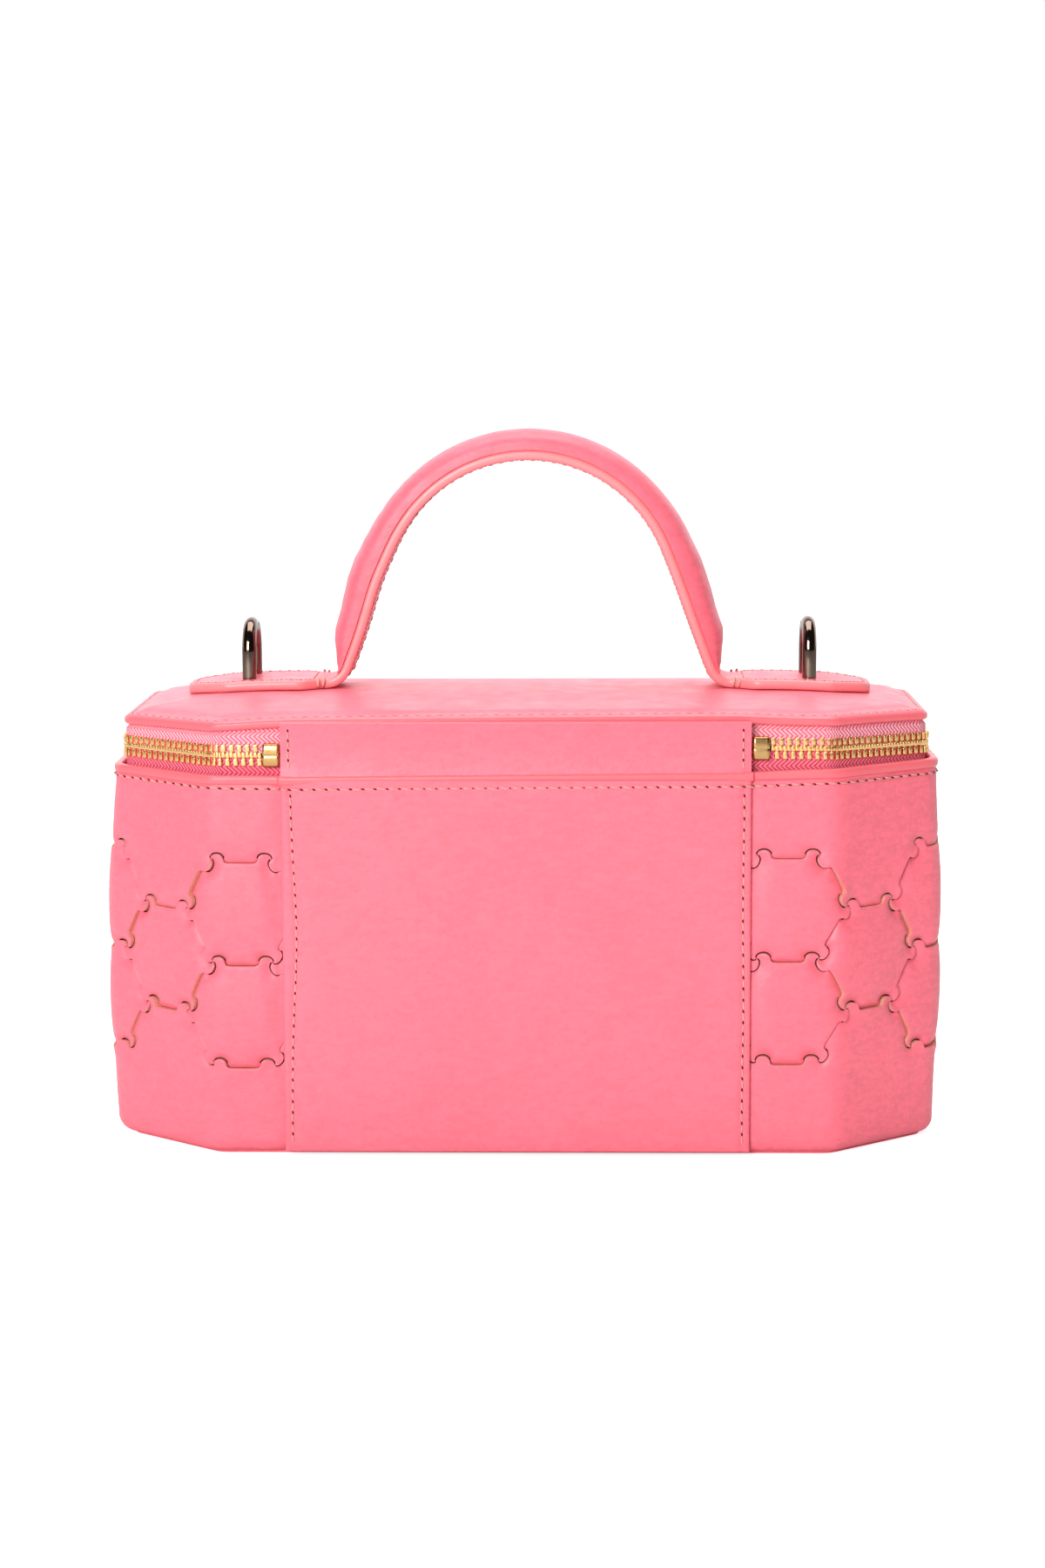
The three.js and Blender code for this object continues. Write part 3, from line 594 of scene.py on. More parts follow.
def stitches(name, line, normals, body, pitch=2.9, radius=0.24, slant=10, closed=False,
             margin=1.2, cover=0.74):
    """A row of stitches along a line of points. Each one is a short raised loop of thread that
    dips into the leather at both ends, with a flat dark disc between it and the next, painted
    shade that stands for the needle hole. normals is one direction, or one a point; cover is
    the thread's share of the pitch."""
    line = np.asarray(line, float)
    normals = np.broadcast_to(unit(normals), line.shape)
    if closed:
        line = np.vstack([line, line[:1]])
        normals = np.vstack([normals, normals[:1]])
        margin = 0
    run = np.concatenate([[0], np.cumsum(np.linalg.norm(np.diff(line, axis=0), axis=1))])
    count = max(1, int(round((run[-1] - 2 * margin) / pitch)))
    step = (run[-1] - 2 * margin) / count
    points, faces, kinds, uv = [], [], [], []
    lean = math.radians(slant)

    def frame_at(at):
        here, ahead, behind = [np.array([np.interp(a, run, line[:, k]) for k in range(3)])
                               for a in (at, at + 0.4, at - 0.4)]
        up = unit([np.interp(at, run, normals[:, k]) for k in range(3)])
        along = unit(ahead - behind)
        return here, up, along, unit(np.cross(up, along))

    for i in range(count):
        here, up, along, side = frame_at(margin + (i + 0.5) * step)
        jitter = random.normal(0, 1, 3)
        turn = lean + 0.06 * jitter[0]
        heading = along * math.cos(turn) + side * math.sin(turn)
        across = unit(np.cross(up, heading))
        here = here + side * 0.06 * jitter[1]
        half = step * cover / 2 * (1 + 0.05 * jitter[2])
        first = len(points)
        for r in range(STITCH_RINGS):
            t = -1 + 2 * r / (STITCH_RINGS - 1)
            thick = radius * (1 - 0.55 * abs(t) ** 3)
            lift = radius * 0.62 - radius * 1.7 * abs(t) ** 3
            for k in range(STITCH_SIDES):
                angle = 2 * math.pi * k / STITCH_SIDES
                points.append(here + heading * half * t + up * (lift + thick * math.sin(angle))
                              + across * thick * math.cos(angle))
                uv.append((t * half, k / STITCH_SIDES * 1.7))
        block = grid_faces(STITCH_RINGS, STITCH_SIDES) + end_faces(STITCH_RINGS, STITCH_SIDES)
        faces += [tuple(first + v for v in face) for face in block]
        kinds += [0] * len(block)
        here, up, along, side = frame_at(margin + (i + 1) * step)
        turn = lean * 2.5 + 0.1 * jitter[0]
        heading = along * math.cos(turn) + side * math.sin(turn)
        across = unit(np.cross(up, heading))
        first = len(points)
        # Then a flat dark disc, painted shade standing for the needle hole.
        size = step * (1 - cover) * 0.62
        points += [here + up * 0.16, here - up * 0.2]
        for k in range(10):
            angle = 2 * math.pi * k / 10
            points.append(here + heading * size * math.cos(angle)
                          + across * radius * 1.1 * math.sin(angle) + up * 0.05)
        uv += [(0, 0)] * 12
        for k in range(10):
            a, b = first + 2 + k, first + 2 + (k + 1) % 10
            faces += [(first, a, b), (first + 1, b, a)]
        kinds += [1] * 20
    piece = mesh(name, points, faces, [STITCH, HOLE_SHADE], kinds, uv, 60)
    if body:
        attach(piece, body)
    return piece


# ---- Interlocked leather ----
COLUMN_PITCH = (PERIMETER - 2 * TILE_FIRST) / (TILE_COLUMNS - 1)
TILE_EDGE = COLUMN_PITCH / 1.5
SEAM = 0.07  # each piece of leather stands this far back from the shared cut line
EAR = [  # from a corner along the edge, and towards the piece that the ear lies on
    (0, 0), (0.05, 0.5), (0.35, 1.0), (1.0, 1.38), (2.0, 1.5), (2.95, 1.3), (3.6, 0.75),
    (3.85, 0.1), (4.05, -0.45), (4.4, -0.8), (5.0, -0.95), (6.2, -1.0),
]
EAR_REACH = 0.2  # the ear's part of the profile stands further out than this
SLOT_ROOM = 0.32  # the piece under an ear is cut back this much more, as a slot


def smooth_line(points, steps=4):
    """A Catmull-Rom curve through the points."""
    p = np.asarray(points, float)
    p = np.vstack([2 * p[0] - p[1], p, 2 * p[-1] - p[-2]])
    found = []
    for i in range(1, len(p) - 2):
        for t in np.arange(steps) / steps:
            found.append(0.5 * (2 * p[i] + (p[i + 1] - p[i - 1]) * t
                         + (2 * p[i - 1] - 5 * p[i] + 4 * p[i + 1] - p[i + 2]) * t ** 2
                         + (3 * p[i] - p[i - 1] - 3 * p[i + 1] + p[i + 2]) * t ** 3))
    return np.array(found + [p[-2]])


def cut_line(a, b, owner_on_left):
    """The shared cut from corner a to corner b: two ears of the owner and a straight between."""
    a, b = np.asarray(a, float), np.asarray(b, float)
    length = np.linalg.norm(b - a)
    along = (b - a) / length
    towards_other = -left_of(along) if owner_on_left else left_of(along)
    half = np.array(EAR)
    profile = np.vstack([half, [[length - u, v] for u, v in half[::-1]]])
    curve = smooth_line(profile, 3)[:-1]
    line = a + np.outer(curve[:, 0], along) + np.outer(curve[:, 1], towards_other)
    return line, curve[:, 1] > EAR_REACH


def column_at(k):
    return PANEL_MID + TILE_FIRST + k * COLUMN_PITCH


def tile_corners(column, middle):
    h = TILE_HEIGHT / 2
    e = TILE_EDGE
    return [(column + e, middle), (column + e / 2, middle + h), (column - e / 2, middle + h),
            (column - e, middle), (column - e / 2, middle - h), (column + e / 2, middle - h)]


# How a piece meets its neighbour along a stretch of outline; SLOT is under an ear.
FREE, OVER, UNDER, SLOT = range(4)


def kinds_of(is_over, in_ear):
    return np.where(is_over, OVER, np.where(in_ear, SLOT, UNDER))


def tile_outline(column, middle):
    """A tile's outline and how it meets its neighbours: it lies over them along its top and
    along both lower slants, and under them along the other three edges."""
    corners = tile_corners(column, middle)
    points, kinds = [], []
    for i in range(6):
        over = i in (1, 3, 5)
        line, in_ear = cut_line(corners[i], corners[(i + 1) % 6], over)
        points.append(line)
        kinds.append(kinds_of(over, in_ear))
    return np.vstack(points), np.concatenate(kinds)


def field_edge(top):
    """The upper or lower border of the tiles, from the first column to the last, and how the
    plain leather beyond it meets the tiles."""
    sign = 1 if top else -1
    e, h = TILE_EDGE, TILE_HEIGHT
    points, kinds = [], []
    for k in range(TILE_COLUMNS):
        c = column_at(k)
        if k % 2:
            spans = [((c - e / 2, h / 2), (c + e / 2, h / 2), True)]
        else:
            foot, peak = (c - e, h / 2), (c - e / 2, h)
            far_peak, far_foot = (c + e / 2, h), (c + e, h / 2)
            spans = [(foot, peak, False), (peak, far_peak, True), (far_peak, far_foot, False)]
        for a, b, level in spans:
            # On a level span the lower piece owns the ears, and on a slant the upper one does
            # along the top border; along the bottom border it is the other way round.
            tile_owns = level if top else not level
            tile_on_left = not top
            a, b = [(s, TILE_MID + sign * z) for s, z in (a, b)]
            line, in_ear = cut_line(a, b, tile_on_left == tile_owns)
            points.append(line)
            kinds.append(kinds_of(not tile_owns, in_ear))
    points.append(np.array([(column_at(TILE_COLUMNS - 1) + e, TILE_MID + sign * h / 2)]))
    kinds.append([FREE])
    return np.vstack(points), np.concatenate(kinds)


def set_back(outline, distance):
    """A counterclockwise outline moved inwards."""
    ahead = np.roll(outline, -1, axis=0) - np.roll(outline, 1, axis=0)
    ahead = unit(ahead)
    inwards = np.stack([-ahead[:, 1], ahead[:, 0]], axis=1)
    return outline + inwards * np.broadcast_to(distance, len(outline))[:, None]


def clip(outline, kinds, limit, keep_above):
    """Cuts an outline at s = limit."""
    sign = 1 if keep_above else -1
    inside = sign * (outline[:, 0] - limit) >= 0
    points, found = [], []
    for i in range(len(outline)):
        j = (i + 1) % len(outline)
        if inside[i]:
            points.append(outline[i])
            found.append(kinds[i])
        if inside[i] != inside[j]:
            t = (limit - outline[i, 0]) / (outline[j, 0] - outline[i, 0])
            points.append(outline[i] + t * (outline[j] - outline[i]))
            found.append(FREE if inside[i] else kinds[i])
    return np.array(points), np.array(found)


def is_inside(points, outline):
    x, y = points[:, 0][:, None], points[:, 1][:, None]
    a, b = outline, np.roll(outline, -1, axis=0)
    crosses = (a[:, 1] > y) != (b[:, 1] > y)
    rise = np.where(b[:, 1] == a[:, 1], 1e-9, b[:, 1] - a[:, 1])
    at = a[:, 0] + (y - a[:, 1]) * (b[:, 0] - a[:, 0]) / rise
    return (crosses & (x < at)).sum(axis=1) % 2 == 1


def distance_to(points, outline, chosen):
    """How far each point is from the chosen segments of a closed outline."""
    if not chosen.any():
        return np.full(len(points), 1e3)
    a = outline[chosen]
    b = np.roll(outline, -1, axis=0)[chosen]
    nearest = np.full(len(points), 1e3)
    for first in range(0, len(points), 400):
        p = points[first : first + 400, None, :]
        run = b - a
        t = ((p - a) * run).sum(-1) / np.maximum((run ** 2).sum(-1), 1e-12)
        gap = p - (a + np.clip(t, 0, 1)[..., None] * run)
        nearest[first : first + 400] = np.sqrt((gap ** 2).sum(-1)).min(axis=1)
    return nearest


# Heights of a sheet's surface: it rises where it lies over a neighbour, with its edge rounded
# off, and goes down where it lies under one, and into the rim. The panel presses it flat.
LAP_RISE = 0.5
LAP_ROUNDING = 0.28
TUCK_DEPTH = 1.0
RIM_TUCK = 0.8
PRESSED = 4  # this far beside the panel


def to_edge(points, outline):
    return distance_to(points, outline, np.ones(len(outline), bool))


def fill_points(outline, step):
    """Points inside an outline: two rows close along it, and a lattice that is finer where the
    leather turns under the case."""
    lows, highs = outline.min(axis=0), outline.max(axis=0)
    rows = np.arange(lows[1], highs[1], step * 0.87)
    lattice = np.array([(s + (step / 2 if i % 2 else 0), z)
                        for i, z in enumerate(rows) for s in np.arange(lows[0], highs[0], step)])
    if lows[1] < WALL_BOTTOM + FOLD:
        turn = [(s, z) for z in np.linspace(lows[1] + 0.9, WALL_BOTTOM + FOLD, 6)
                for s in np.arange(lows[0] + 1, highs[0], 1.8)]
        lattice = np.vstack([lattice[lattice[:, 1] > WALL_BOTTOM + FOLD + 0.8], turn])
    lattice = lattice[is_inside(lattice, outline)]
    lattice = lattice[to_edge(lattice, outline) > step * 0.45]
    near = np.vstack([set_back(outline, d) for d in (0.3, 0.75)])
    near = near[is_inside(near, outline)]
    near = near[to_edge(near, outline) > 0.26]
    return np.vstack([near, lattice])


def triangulated(outline, inner):
    """Points and counterclockwise triangles that fill the outline."""
    flat = np.vstack([outline, inner])
    ends = [(i, (i + 1) % len(outline)) for i in range(len(outline))]
    found = delaunay_2d_cdt([Vector(p) for p in flat], ends, [], 1, 1e-4)
    flat = np.array([tuple(v) for v in found[0]])
    faces = [tuple(f) for f in found[2]]
    area = [np.cross(flat[f[1]] - flat[f[0]], flat[f[2]] - flat[f[0]]) for f in faces]
    return flat, [f if a > 0 else f[::-1] for f, a in zip(faces, area)]


def sheet_height(flat, outline, kinds, puff):
    """How far the sheet's surface stands out of the wall at each point."""
    over = distance_to(flat, outline, kinds == OVER)
    under = distance_to(flat, outline, (kinds == UNDER) | (kinds == SLOT))
    n = puff(np.minimum(over, under))
    n = n + LAP_RISE * np.exp(-over / 1.3) - LAP_ROUNDING * np.exp(-over / 0.22)
    n = n - TUCK_DEPTH * np.exp(-((under / 1.5) ** 1.3))
    into_rim = (flat[:, 1] - RIM_BOTTOM - sway(flat[:, 0], RIM_SWAY)) / 0.4
    n = n - RIM_TUCK * np.clip(into_rim, 0, 1)
    beside = from_panel(flat[:, 0]) - PANEL_HALF
    flattened = n * np.clip(beside / PRESSED, 0.2, 1) - 0.3 * np.clip(1 - beside, 0, 1)
    return np.where(beside < PRESSED, flattened, n)


def cut_leather(name, outline, kinds, puff, step, depth=1.15):
    """A sheet of leather over the wall with the given outline: cushioned, raised along the edges
    that lie over a neighbour and tucked down along those that lie under one."""
    outline = set_back(outline, np.where(kinds == SLOT, SEAM + SLOT_ROOM, SEAM))
    flat, faces = triangulated(outline, fill_points(outline, step))
    n = sheet_height(flat, outline, kinds, puff)
    sides = dict.fromkeys((f[k], f[(k + 1) % 3]) for f in faces for k in range(3))
    rim = [(a, b) for a, b in sides if (b, a) not in sides]
    below = {a: len(flat) + i for i, (a, _) in enumerate(rim)}
    border = flat[[a for a, _ in rim]]
    points = np.vstack([
        folded(flat[:, 0], n, flat[:, 1]), folded(border[:, 0], -depth, border[:, 1]),
    ])
    skirt = [(b, a, below[a], below[b]) for a, b in rim]
    uv = np.vstack([flat, border])
    return mesh(name, points, faces + skirt, [LEATHER, RAW_EDGE],
                [0] * len(faces) + [1] * len(skirt), uv, 50)


def tile_puff(distance):
    return 0.1 + TILE_CUSHION * (1 - np.exp(-distance / 4.5))


def wrap_puff(distance):
    return 0.4 * np.exp(-distance / 8.0)


def build_tiles():
    # One more column at each end is cut off by the back panel, and only its tip may show.
    for k in range(-1, TILE_COLUMNS + 1):
        column = column_at(k)
        number = f"{k + 1:02d}"
        rows = [("_upper", 0.5), ("_lower", -0.5)] if k % 2 == 0 else [("", 0.0)]
        for suffix, share in rows:
            middle = TILE_MID + TILE_HEIGHT * share
            outline, kinds = tile_outline(column, middle)
            if k <= 0:
                outline, kinds = clip(outline, kinds, PANEL_MID + CLAD_END, True)
            if k >= TILE_COLUMNS - 1:
                outline, kinds = clip(outline, kinds, PERIMETER + PANEL_MID - CLAD_END, False)
            tile = cut_leather(f"leather_tile_{number}{suffix}", outline, kinds, tile_puff, 1.5)
            nodes = [f"hex_tile_{number}{suffix}"] if 0 <= k < TILE_COLUMNS else []
            fit_out(tile, "case", "leather", *nodes)


def build_wraps():
    turned_in = WALL_BOTTOM + FOLD - FOLD * math.pi / 2
    for name, top, level in (("upper_wrap", True, RIM_BOTTOM + 1.6),
                             ("lower_wrap", False, turned_in)):
        border, kinds = field_edge(top)
        ends = np.array([[border[-1, 0], level], [border[0, 0], level]])
        count = 200
        far = np.stack([np.linspace(ends[0, 0], ends[1, 0], count), np.full(count, level)], 1)
        outline = np.vstack([border, far])
        kinds = np.concatenate([kinds, np.full(count, FREE)])
        if not top:
            outline, kinds = outline[::-1], np.roll(kinds[::-1], -1)
        outline, kinds = clip(outline, kinds, PANEL_MID + CLAD_END, True)
        outline, kinds = clip(outline, kinds, PERIMETER + PANEL_MID - CLAD_END, False)
        wrap = cut_leather(f"leather_{name}", outline, kinds, wrap_puff, 1.9)
        fit_out(wrap, "case", "leather", name)


# ---- Back panel, rim and base ----
PANEL_LIFT = 1.5  # the panel's face stands this far out of the wall
RIM_SEAM = 103.25  # height of the stitches under the rim


def seam_inset(side, z):
    """How far the panel's side seams run in from its edge: the left one wanders."""
    if side > 0:
        return 2.0 + 0.12 * np.sin(z / 9)
    return 2.1 + 1.5 * np.exp(-(((z - 62) / 24) ** 2)) + 0.5 * np.clip(z / 104, 0, 1)


def build_panel():
    """The smooth panel over the hinge side, slightly cushioned, with painted edges."""
    bottom, top = low("back_panel")[2], RIM_BOTTOM + 0.5
    face = DEPTH / 2 + PANEL_LIFT
    inner = -DEPTH / 2 - 0.05
    beside_edge = PANEL_HALF - np.array([0.25, 0.6, 1.1, 1.7, 2.3, 3.0, 3.8])
    even = np.linspace(-PANEL_HALF, PANEL_HALF, 44)
    columns = np.unique(np.concatenate([even, -beside_edge, beside_edge]))
    first = [bottom, bottom + 0.3, bottom + 0.8]
    levels = np.concatenate([first, np.linspace(bottom + 1.6, top, 52)])
    rings = []
    for z in levels:
        ring = [(PANEL_MID - PANEL_HALF, inner, z)]
        for x in columns:
            edge = min(PANEL_HALF - abs(x), z - bottom)
            soft = 0.5 * (1 - math.exp(-edge / 9)) - 0.45 * math.exp(-edge / 0.6)
            beside_seam = PANEL_HALF - abs(x) - seam_inset(x, z)
            channel = 0.3 * math.exp(-((beside_seam / 0.75) ** 2))
            ring.append((PANEL_MID + x, -face - soft + channel, z))
        ring.append((PANEL_MID + PANEL_HALF, inner, z))
        rings.append(ring)
    count = len(rings[0])
    kinds = [1 if i in (0, count - 2) else 0 for i in range(count)]
    panel = sections("back_panel_leather", rings, [LEATHER_BACK, EDGE], kinds, sharp=60)
    fit_out(panel, "case", "leather", "back_panel")
    z = np.arange(bottom + 0.8, RIM_BOTTOM - 1.5, 1.0)
    for side, word in ((-1, "left"), (1, "right")):
        x = PANEL_MID + side * (PANEL_HALF - seam_inset(side, z))
        line = np.stack([x, np.full_like(z, -face + 0.12), z], 1)
        stitches(f"back_panel_stitches_{word}", line, (0, -1, 0), "case", slant=5, pitch=3.1)


def build_rim():
    """The painted binding round the top of the walls, and the seam under it."""
    over_panel = lambda s: 1.35 if from_panel(s) < PANEL_HALF + 0.6 else 0.0
    foot = rounded(-2.1, 0.45, RIM_BOTTOM, RIM_TOP + 0.1, 0.85, 4)

    def section(s):
        """The binding follows the sway, and is a little taller where it strays furthest."""
        shift = float(sway(s, RIM_SWAY))
        grow = 0.5 * min(abs(shift) / 0.5, 1) * np.sign(shift)
        points = []
        for n, z in foot:
            leading = (z > RIM_BOTTOM + 1) == (shift > 0)
            out = over_panel(s) if n > -0.8 else 0
            points.append((n + out, z + shift + (grow if leading else 0)))
        return points

    edges = (PANEL_HALF + 0.4, PANEL_HALF + 0.9)
    extra = [(PANEL_MID + way * edge) % PERIMETER for edge in edges for way in (-1, 1)]
    places = wall_stations(0, PERIMETER, 3.0, extra)[:-1]
    rim = wall_band("rim_edge", places, section, [EDGE], None, True)
    fit_out(rim, "case", "painted_edge", "rim_binding")
    places = np.arange(0, PERIMETER, 1.0)
    lift = np.where(from_panel(places) < PANEL_HALF, PANEL_LIFT + 0.42, 0.34)
    line = on_wall(places, lift, RIM_SEAM + sway(places, SEAM_SWAY))
    normals = wall_normal(places)
    stitches("rim_stitches", line, normals, "case", closed=True, pitch=3.35, slant=-9)


def build_hinge():
    """The leather strip between the walls and the lid."""
    bottom, top = RIM_TOP - 1.2, LID_BOTTOM + 2.0
    levels = np.linspace(bottom, top, 17)
    columns = np.linspace(-PANEL_HALF, PANEL_HALF, 70)
    proud = lambda z: 1.5 - 0.7 * np.sin(np.pi * (z - bottom) / (top - bottom)) ** 0.8
    rings = []
    for z in levels:
        front = []
        for x in columns:
            edge = PANEL_HALF - abs(x)
            soft = 0.35 * math.exp(-edge / 0.5) + 0.25 * math.exp(-(((edge - 2.2) / 0.7) ** 2))
            front.append((PANEL_MID + x, -DEPTH / 2 - proud(z) + soft, z))
        back = [(PANEL_MID + x, -DEPTH / 2 + 2.9, z) for x in columns[::-1]]
        rings.append(front + back)
    strip = sections("hinge_leather", rings, [LEATHER_BACK], sharp=60)
    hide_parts("hinge_strip")
    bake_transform(strip)
    z = np.linspace(bottom + 1.2, top - 0.8, 16)
    for side, word in ((-1, "left"), (1, "right")):
        x = np.full_like(z, PANEL_MID + side * (PANEL_HALF - 2.2))
        line = np.stack([x, -DEPTH / 2 - proud(z) + 0.12, z], 1)
        row = stitches(f"hinge_stitches_{word}", line, (0, -1, 0), None, slant=5, pitch=3.0)
        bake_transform(row)


# ---- Zip ----
TOOTH_PITCH = 2.2
TEETH_START = 68.3  # beyond the right stop; the row ends as far short of the left one
TEETH_END = 72.1
TEETH_N = -3.35  # middle of the teeth, out of the wall
TAPE_FOOT = 97.2  # the lower tape is sewn in down here
TAPE_N = -3.08
TAPE_THICK = 0.54


def bevelled_box(size, bevel, steps=2):
    """Points and faces of a box with rounded edges, centred on the origin."""
    work = bmesh.new()
    bmesh.ops.create_cube(work, size=1)
    bmesh.ops.scale(work, vec=size, verts=work.verts)
    bmesh.ops.bevel(work, geom=work.edges[:], offset=bevel, segments=steps, affect="EDGES",
                    profile=0.6)
    points = np.array([tuple(v.co) for v in work.verts])
    faces = [tuple(v.index for v in f.verts) for f in work.faces]
    work.free()
    return points, faces


def tooth():
    """One tooth, pointing down: legs that clamp the tape, and a narrower neck with a head."""
    legs = bevelled_box((1.3, 2.4, 1.9), 0.3, 3)
    neck = bevelled_box((0.8, 1.8, 1.2), 0.2)
    head = bevelled_box((1.16, 2.1, 1.45), 0.36, 3)
    points = np.vstack([legs[0] + (0, 0, 1.98), neck[0] + (0, 0, 0.75), head[0] + (0, 0, 0.05)])
    faces = list(legs[1])
    for first, part in ((len(legs[0]), neck), (len(legs[0]) + len(neck[0]), head)):
        faces += [tuple(v + first for v in f) for f in part[1]]
    return points, faces


def build_teeth():
    shape, faces = tooth()
    run = PERIMETER - TEETH_START - TEETH_END
    count = round(run / TOOTH_PITCH + 0.5)
    pitch = run / (count - 0.5)
    for name, node, body, sign, shift in (
        ("upper_teeth", "upper_zip_teeth", "lid", 1, 0.0),
        ("lower_teeth", "lower_zip_teeth", "case", -1, pitch / 2),
    ):
        local = shape * (1, 1, sign)
        points, found = [], []
        for i in range(count):
            s = TEETH_START + shift + i * pitch
            height = ZIP_MID + float(sway(s, ZIP_SWAY))
            points.append(on_wall(s + local[:, 0], TEETH_N + local[:, 1], height + local[:, 2]))
            found += [tuple(i * len(shape) + v for v in (f if sign > 0 else f[::-1]))
                      for f in faces]
        row = mesh(name, np.vstack(points), found, [BRASS], sharp=35)
        fit_out(row, body, "zip_metal", node)


def build_tapes():
    """Two woven tapes: the lower one sewn inside the walls, the upper one inside the lid."""
    start = PANEL_MID + PANEL_HALF - 2.5
    places = wall_stations(start, PERIMETER + 2 * PANEL_MID - start)
    middle = lambda s: ZIP_MID + sway(s, ZIP_SWAY)
    under_lid = lambda s: LID_BOTTOM + sway(s, LID_SWAY) + 0.4
    # The lower tape's darker colour and the upper tape's lighter one are painted shade and
    # painted light.
    rows = (("lower", "case", SHADED_TAPE_LOW, lambda s: TAPE_FOOT, lambda s: middle(s) - 0.6, 0.0),
            ("upper", "lid", LIGHTENED_TAPE_TOP, lambda s: middle(s) + 0.6, under_lid, 1.3))
    for name, body, material, foot, top, tuck in rows:
        def section(s):
            """Flat, but its top runs in under the lid by tuck."""
            wave, z0, z1 = 0.1 * math.sin(s / 7.0), float(foot(s)), float(top(s))
            side = [(0, z0), (0, z1 - 1.6), (-0.7 * tuck, z1 - 0.7), (-tuck, z1)]
            outer = [(wave + TAPE_N + n, z) for n, z in side]
            return outer + [(n - TAPE_THICK, z) for n, z in outer[::-1]]

        tape = wall_band(f"{name}_tape", places, section, [material])
        fit_out(tape, body, "zip_tape", f"{name}_zip_tape")


def build_stops():
    """A clamp over each end of the chain, with a rounded face grooved across its middle."""
    for node in ("zip_stop_right", "zip_stop_left"):
        lo, hi = low(node), high(node)
        middle = (lo + hi) / 2
        middle[2] = ZIP_MID + float(sway(middle[0], ZIP_SWAY)) + 0.1
        half_x, tall = (hi[0] - lo[0]) / 2, hi[2] - lo[2]
        rounding = 0.35
        rings = []
        for x in np.linspace(-half_x, half_x, 13):
            edge = max(abs(x) - (half_x - rounding), 0) / rounding
            shrink = 0.3 * (1 - math.sqrt(max(1 - edge ** 2, 0)))
            ring = [(middle[0] + x, middle[1] + 1.0, middle[2] + z)
                    for z in (tall / 2 - shrink, -tall / 2 + shrink)]
            for z in np.linspace(-tall / 2 + shrink, tall / 2 - shrink, 25):
                t = z / (tall / 2 - shrink)
                bulge = 0.75 * math.sqrt(max(1 - abs(t) ** 3.2, 0))
                groove = 0.16 * math.exp(-((z / 0.28) ** 2))
                face = middle[1] - 0.5 - bulge + groove + shrink
                ring.append((middle[0] + x, face, middle[2] + z))
            rings.append(ring)
        stop = sections(f"{node}_clamp", rings, [CLAMP], sharp=50)
        fit_out(stop, "case", "zip_metal", node)


# ---- Lid ----
STRAIGHT_PIECES = (60, 10, 14, 10, 30, 10, 14, 10)
BEND_PIECES = 6


def ring_places():
    """Where along the wall the points of ring() lie."""
    found = []
    for i in range(8):
        start, length = PATH[2 * i + 1][1:3]
        found += [start + length * k / BEND_PIECES for k in range(BEND_PIECES + 1)]
        after = PATH[2 * i + 3][1] if i < 7 else PERIMETER + PATH[1][1]
        count = STRAIGHT_PIECES[(i + 1) % 8]
        found += [found[-1] + (after - found[-1]) * k / count for k in range(1, count)]
    return np.mod(found, PERIMETER)


def ring(inset, height):
    """The wall's outline set in, as points; height is a number or a function of the points."""
    found = bends(inset)
    points = []
    for i, (start, centre, angle, turn, radius, _) in enumerate(found):
        for k in range(BEND_PIECES + 1):
            a = angle + turn * k / BEND_PIECES
            points.append(centre + radius * np.array([math.cos(a), math.sin(a)]))
        last, after = points[-1], found[(i + 1) % 8][0]
        count = STRAIGHT_PIECES[(i + 1) % 8]
        points += [last + (after - last) * k / count for k in range(1, count)]
    points = np.array(points)
    z = height(points) if callable(height) else np.full(len(points), height)
    return np.column_stack([points, z])


def inset_of(p):
    """How far points lie inside the lid's edge."""
    sides = []
    for i, corner in enumerate(CORNERS):
        direction = unit(CORNERS[(i + 1) % 8] - corner)
        sides.append((p - corner) @ left_of(direction))
    return np.min(sides, axis=0) - LID_INSET


def edge_shift(p):
    """How far the soft lid's edge wanders up or down, fading out inwards. p is a whole ring."""
    inside = np.maximum(inset_of(p), 0)
    return sway(ring_places(), LID_SWAY) * np.exp(-((inside / 12.0) ** 1.5))


def dome(inside):
    """Height of the lid's leather at a distance inside its edge."""
    t = np.clip(inside / CROWN_RUN, 0, 1)
    return LID_EDGE_TOP + LID_CROWN * (1 - (1 - t) ** 2.2)


def crown(p):
    return dome(inset_of(p)) + edge_shift(p)


def build_lid():
    """Painted edge all round, then the domed leather with its sewn-down border. Each profile
    point is how far it lies inside the edge, and its lift."""
    edge_low = lambda p: LID_BOTTOM + edge_shift(p)
    edge = [
        (6.0, 0.35), (1.4, 0.1), (0.5, 0.0), (0.08, 0.3), (-0.05, 0.85), (0.0, 1.15),
        (-0.05, 1.45), (0.1, 1.95), (0.45, 2.2),
    ]
    top = [
        (0.75, -0.05), (1.0, 0.12), (1.5, 0.1), (2.1, -0.12), (2.7, 0.04), (3.6, 0), (4.4, 0),
        (5.2, 0.14), (6.2, 0.36), (7.2, 0.42), (9, 0.36), (12, 0.24), (16, 0.1), (20, 0),
        (26, 0), (33, 0), (40, 0),
    ]
    rings = [ring(inset + LID_INSET, edge_low) + (0, 0, lift) for inset, lift in edge]
    rings += [ring(inset + LID_INSET, crown) + (0, 0, lift) for inset, lift in top]
    rows, columns = len(rings), len(rings[0])
    faces = grid_faces(rows, columns)
    kinds = [1 if i < len(edge) * columns else 0 for i in range(len(faces))]
    faces += end_faces(rows, columns)
    kinds += [0, 0]
    lid = mesh("lid_leather", np.vstack(rings), faces, [LEATHER, EDGE], kinds, sharp=55)
    face_out(lid)
    fit_out(lid, "lid", "leather", "lid_cover")
    line = ring(2.1 + LID_INSET, crown) - (0, 0, 0.12)
    stitches("lid_stitches", line, (0, 0, 1), "lid", closed=True, pitch=3.1, radius=0.2,
             slant=-8, cover=0.6)


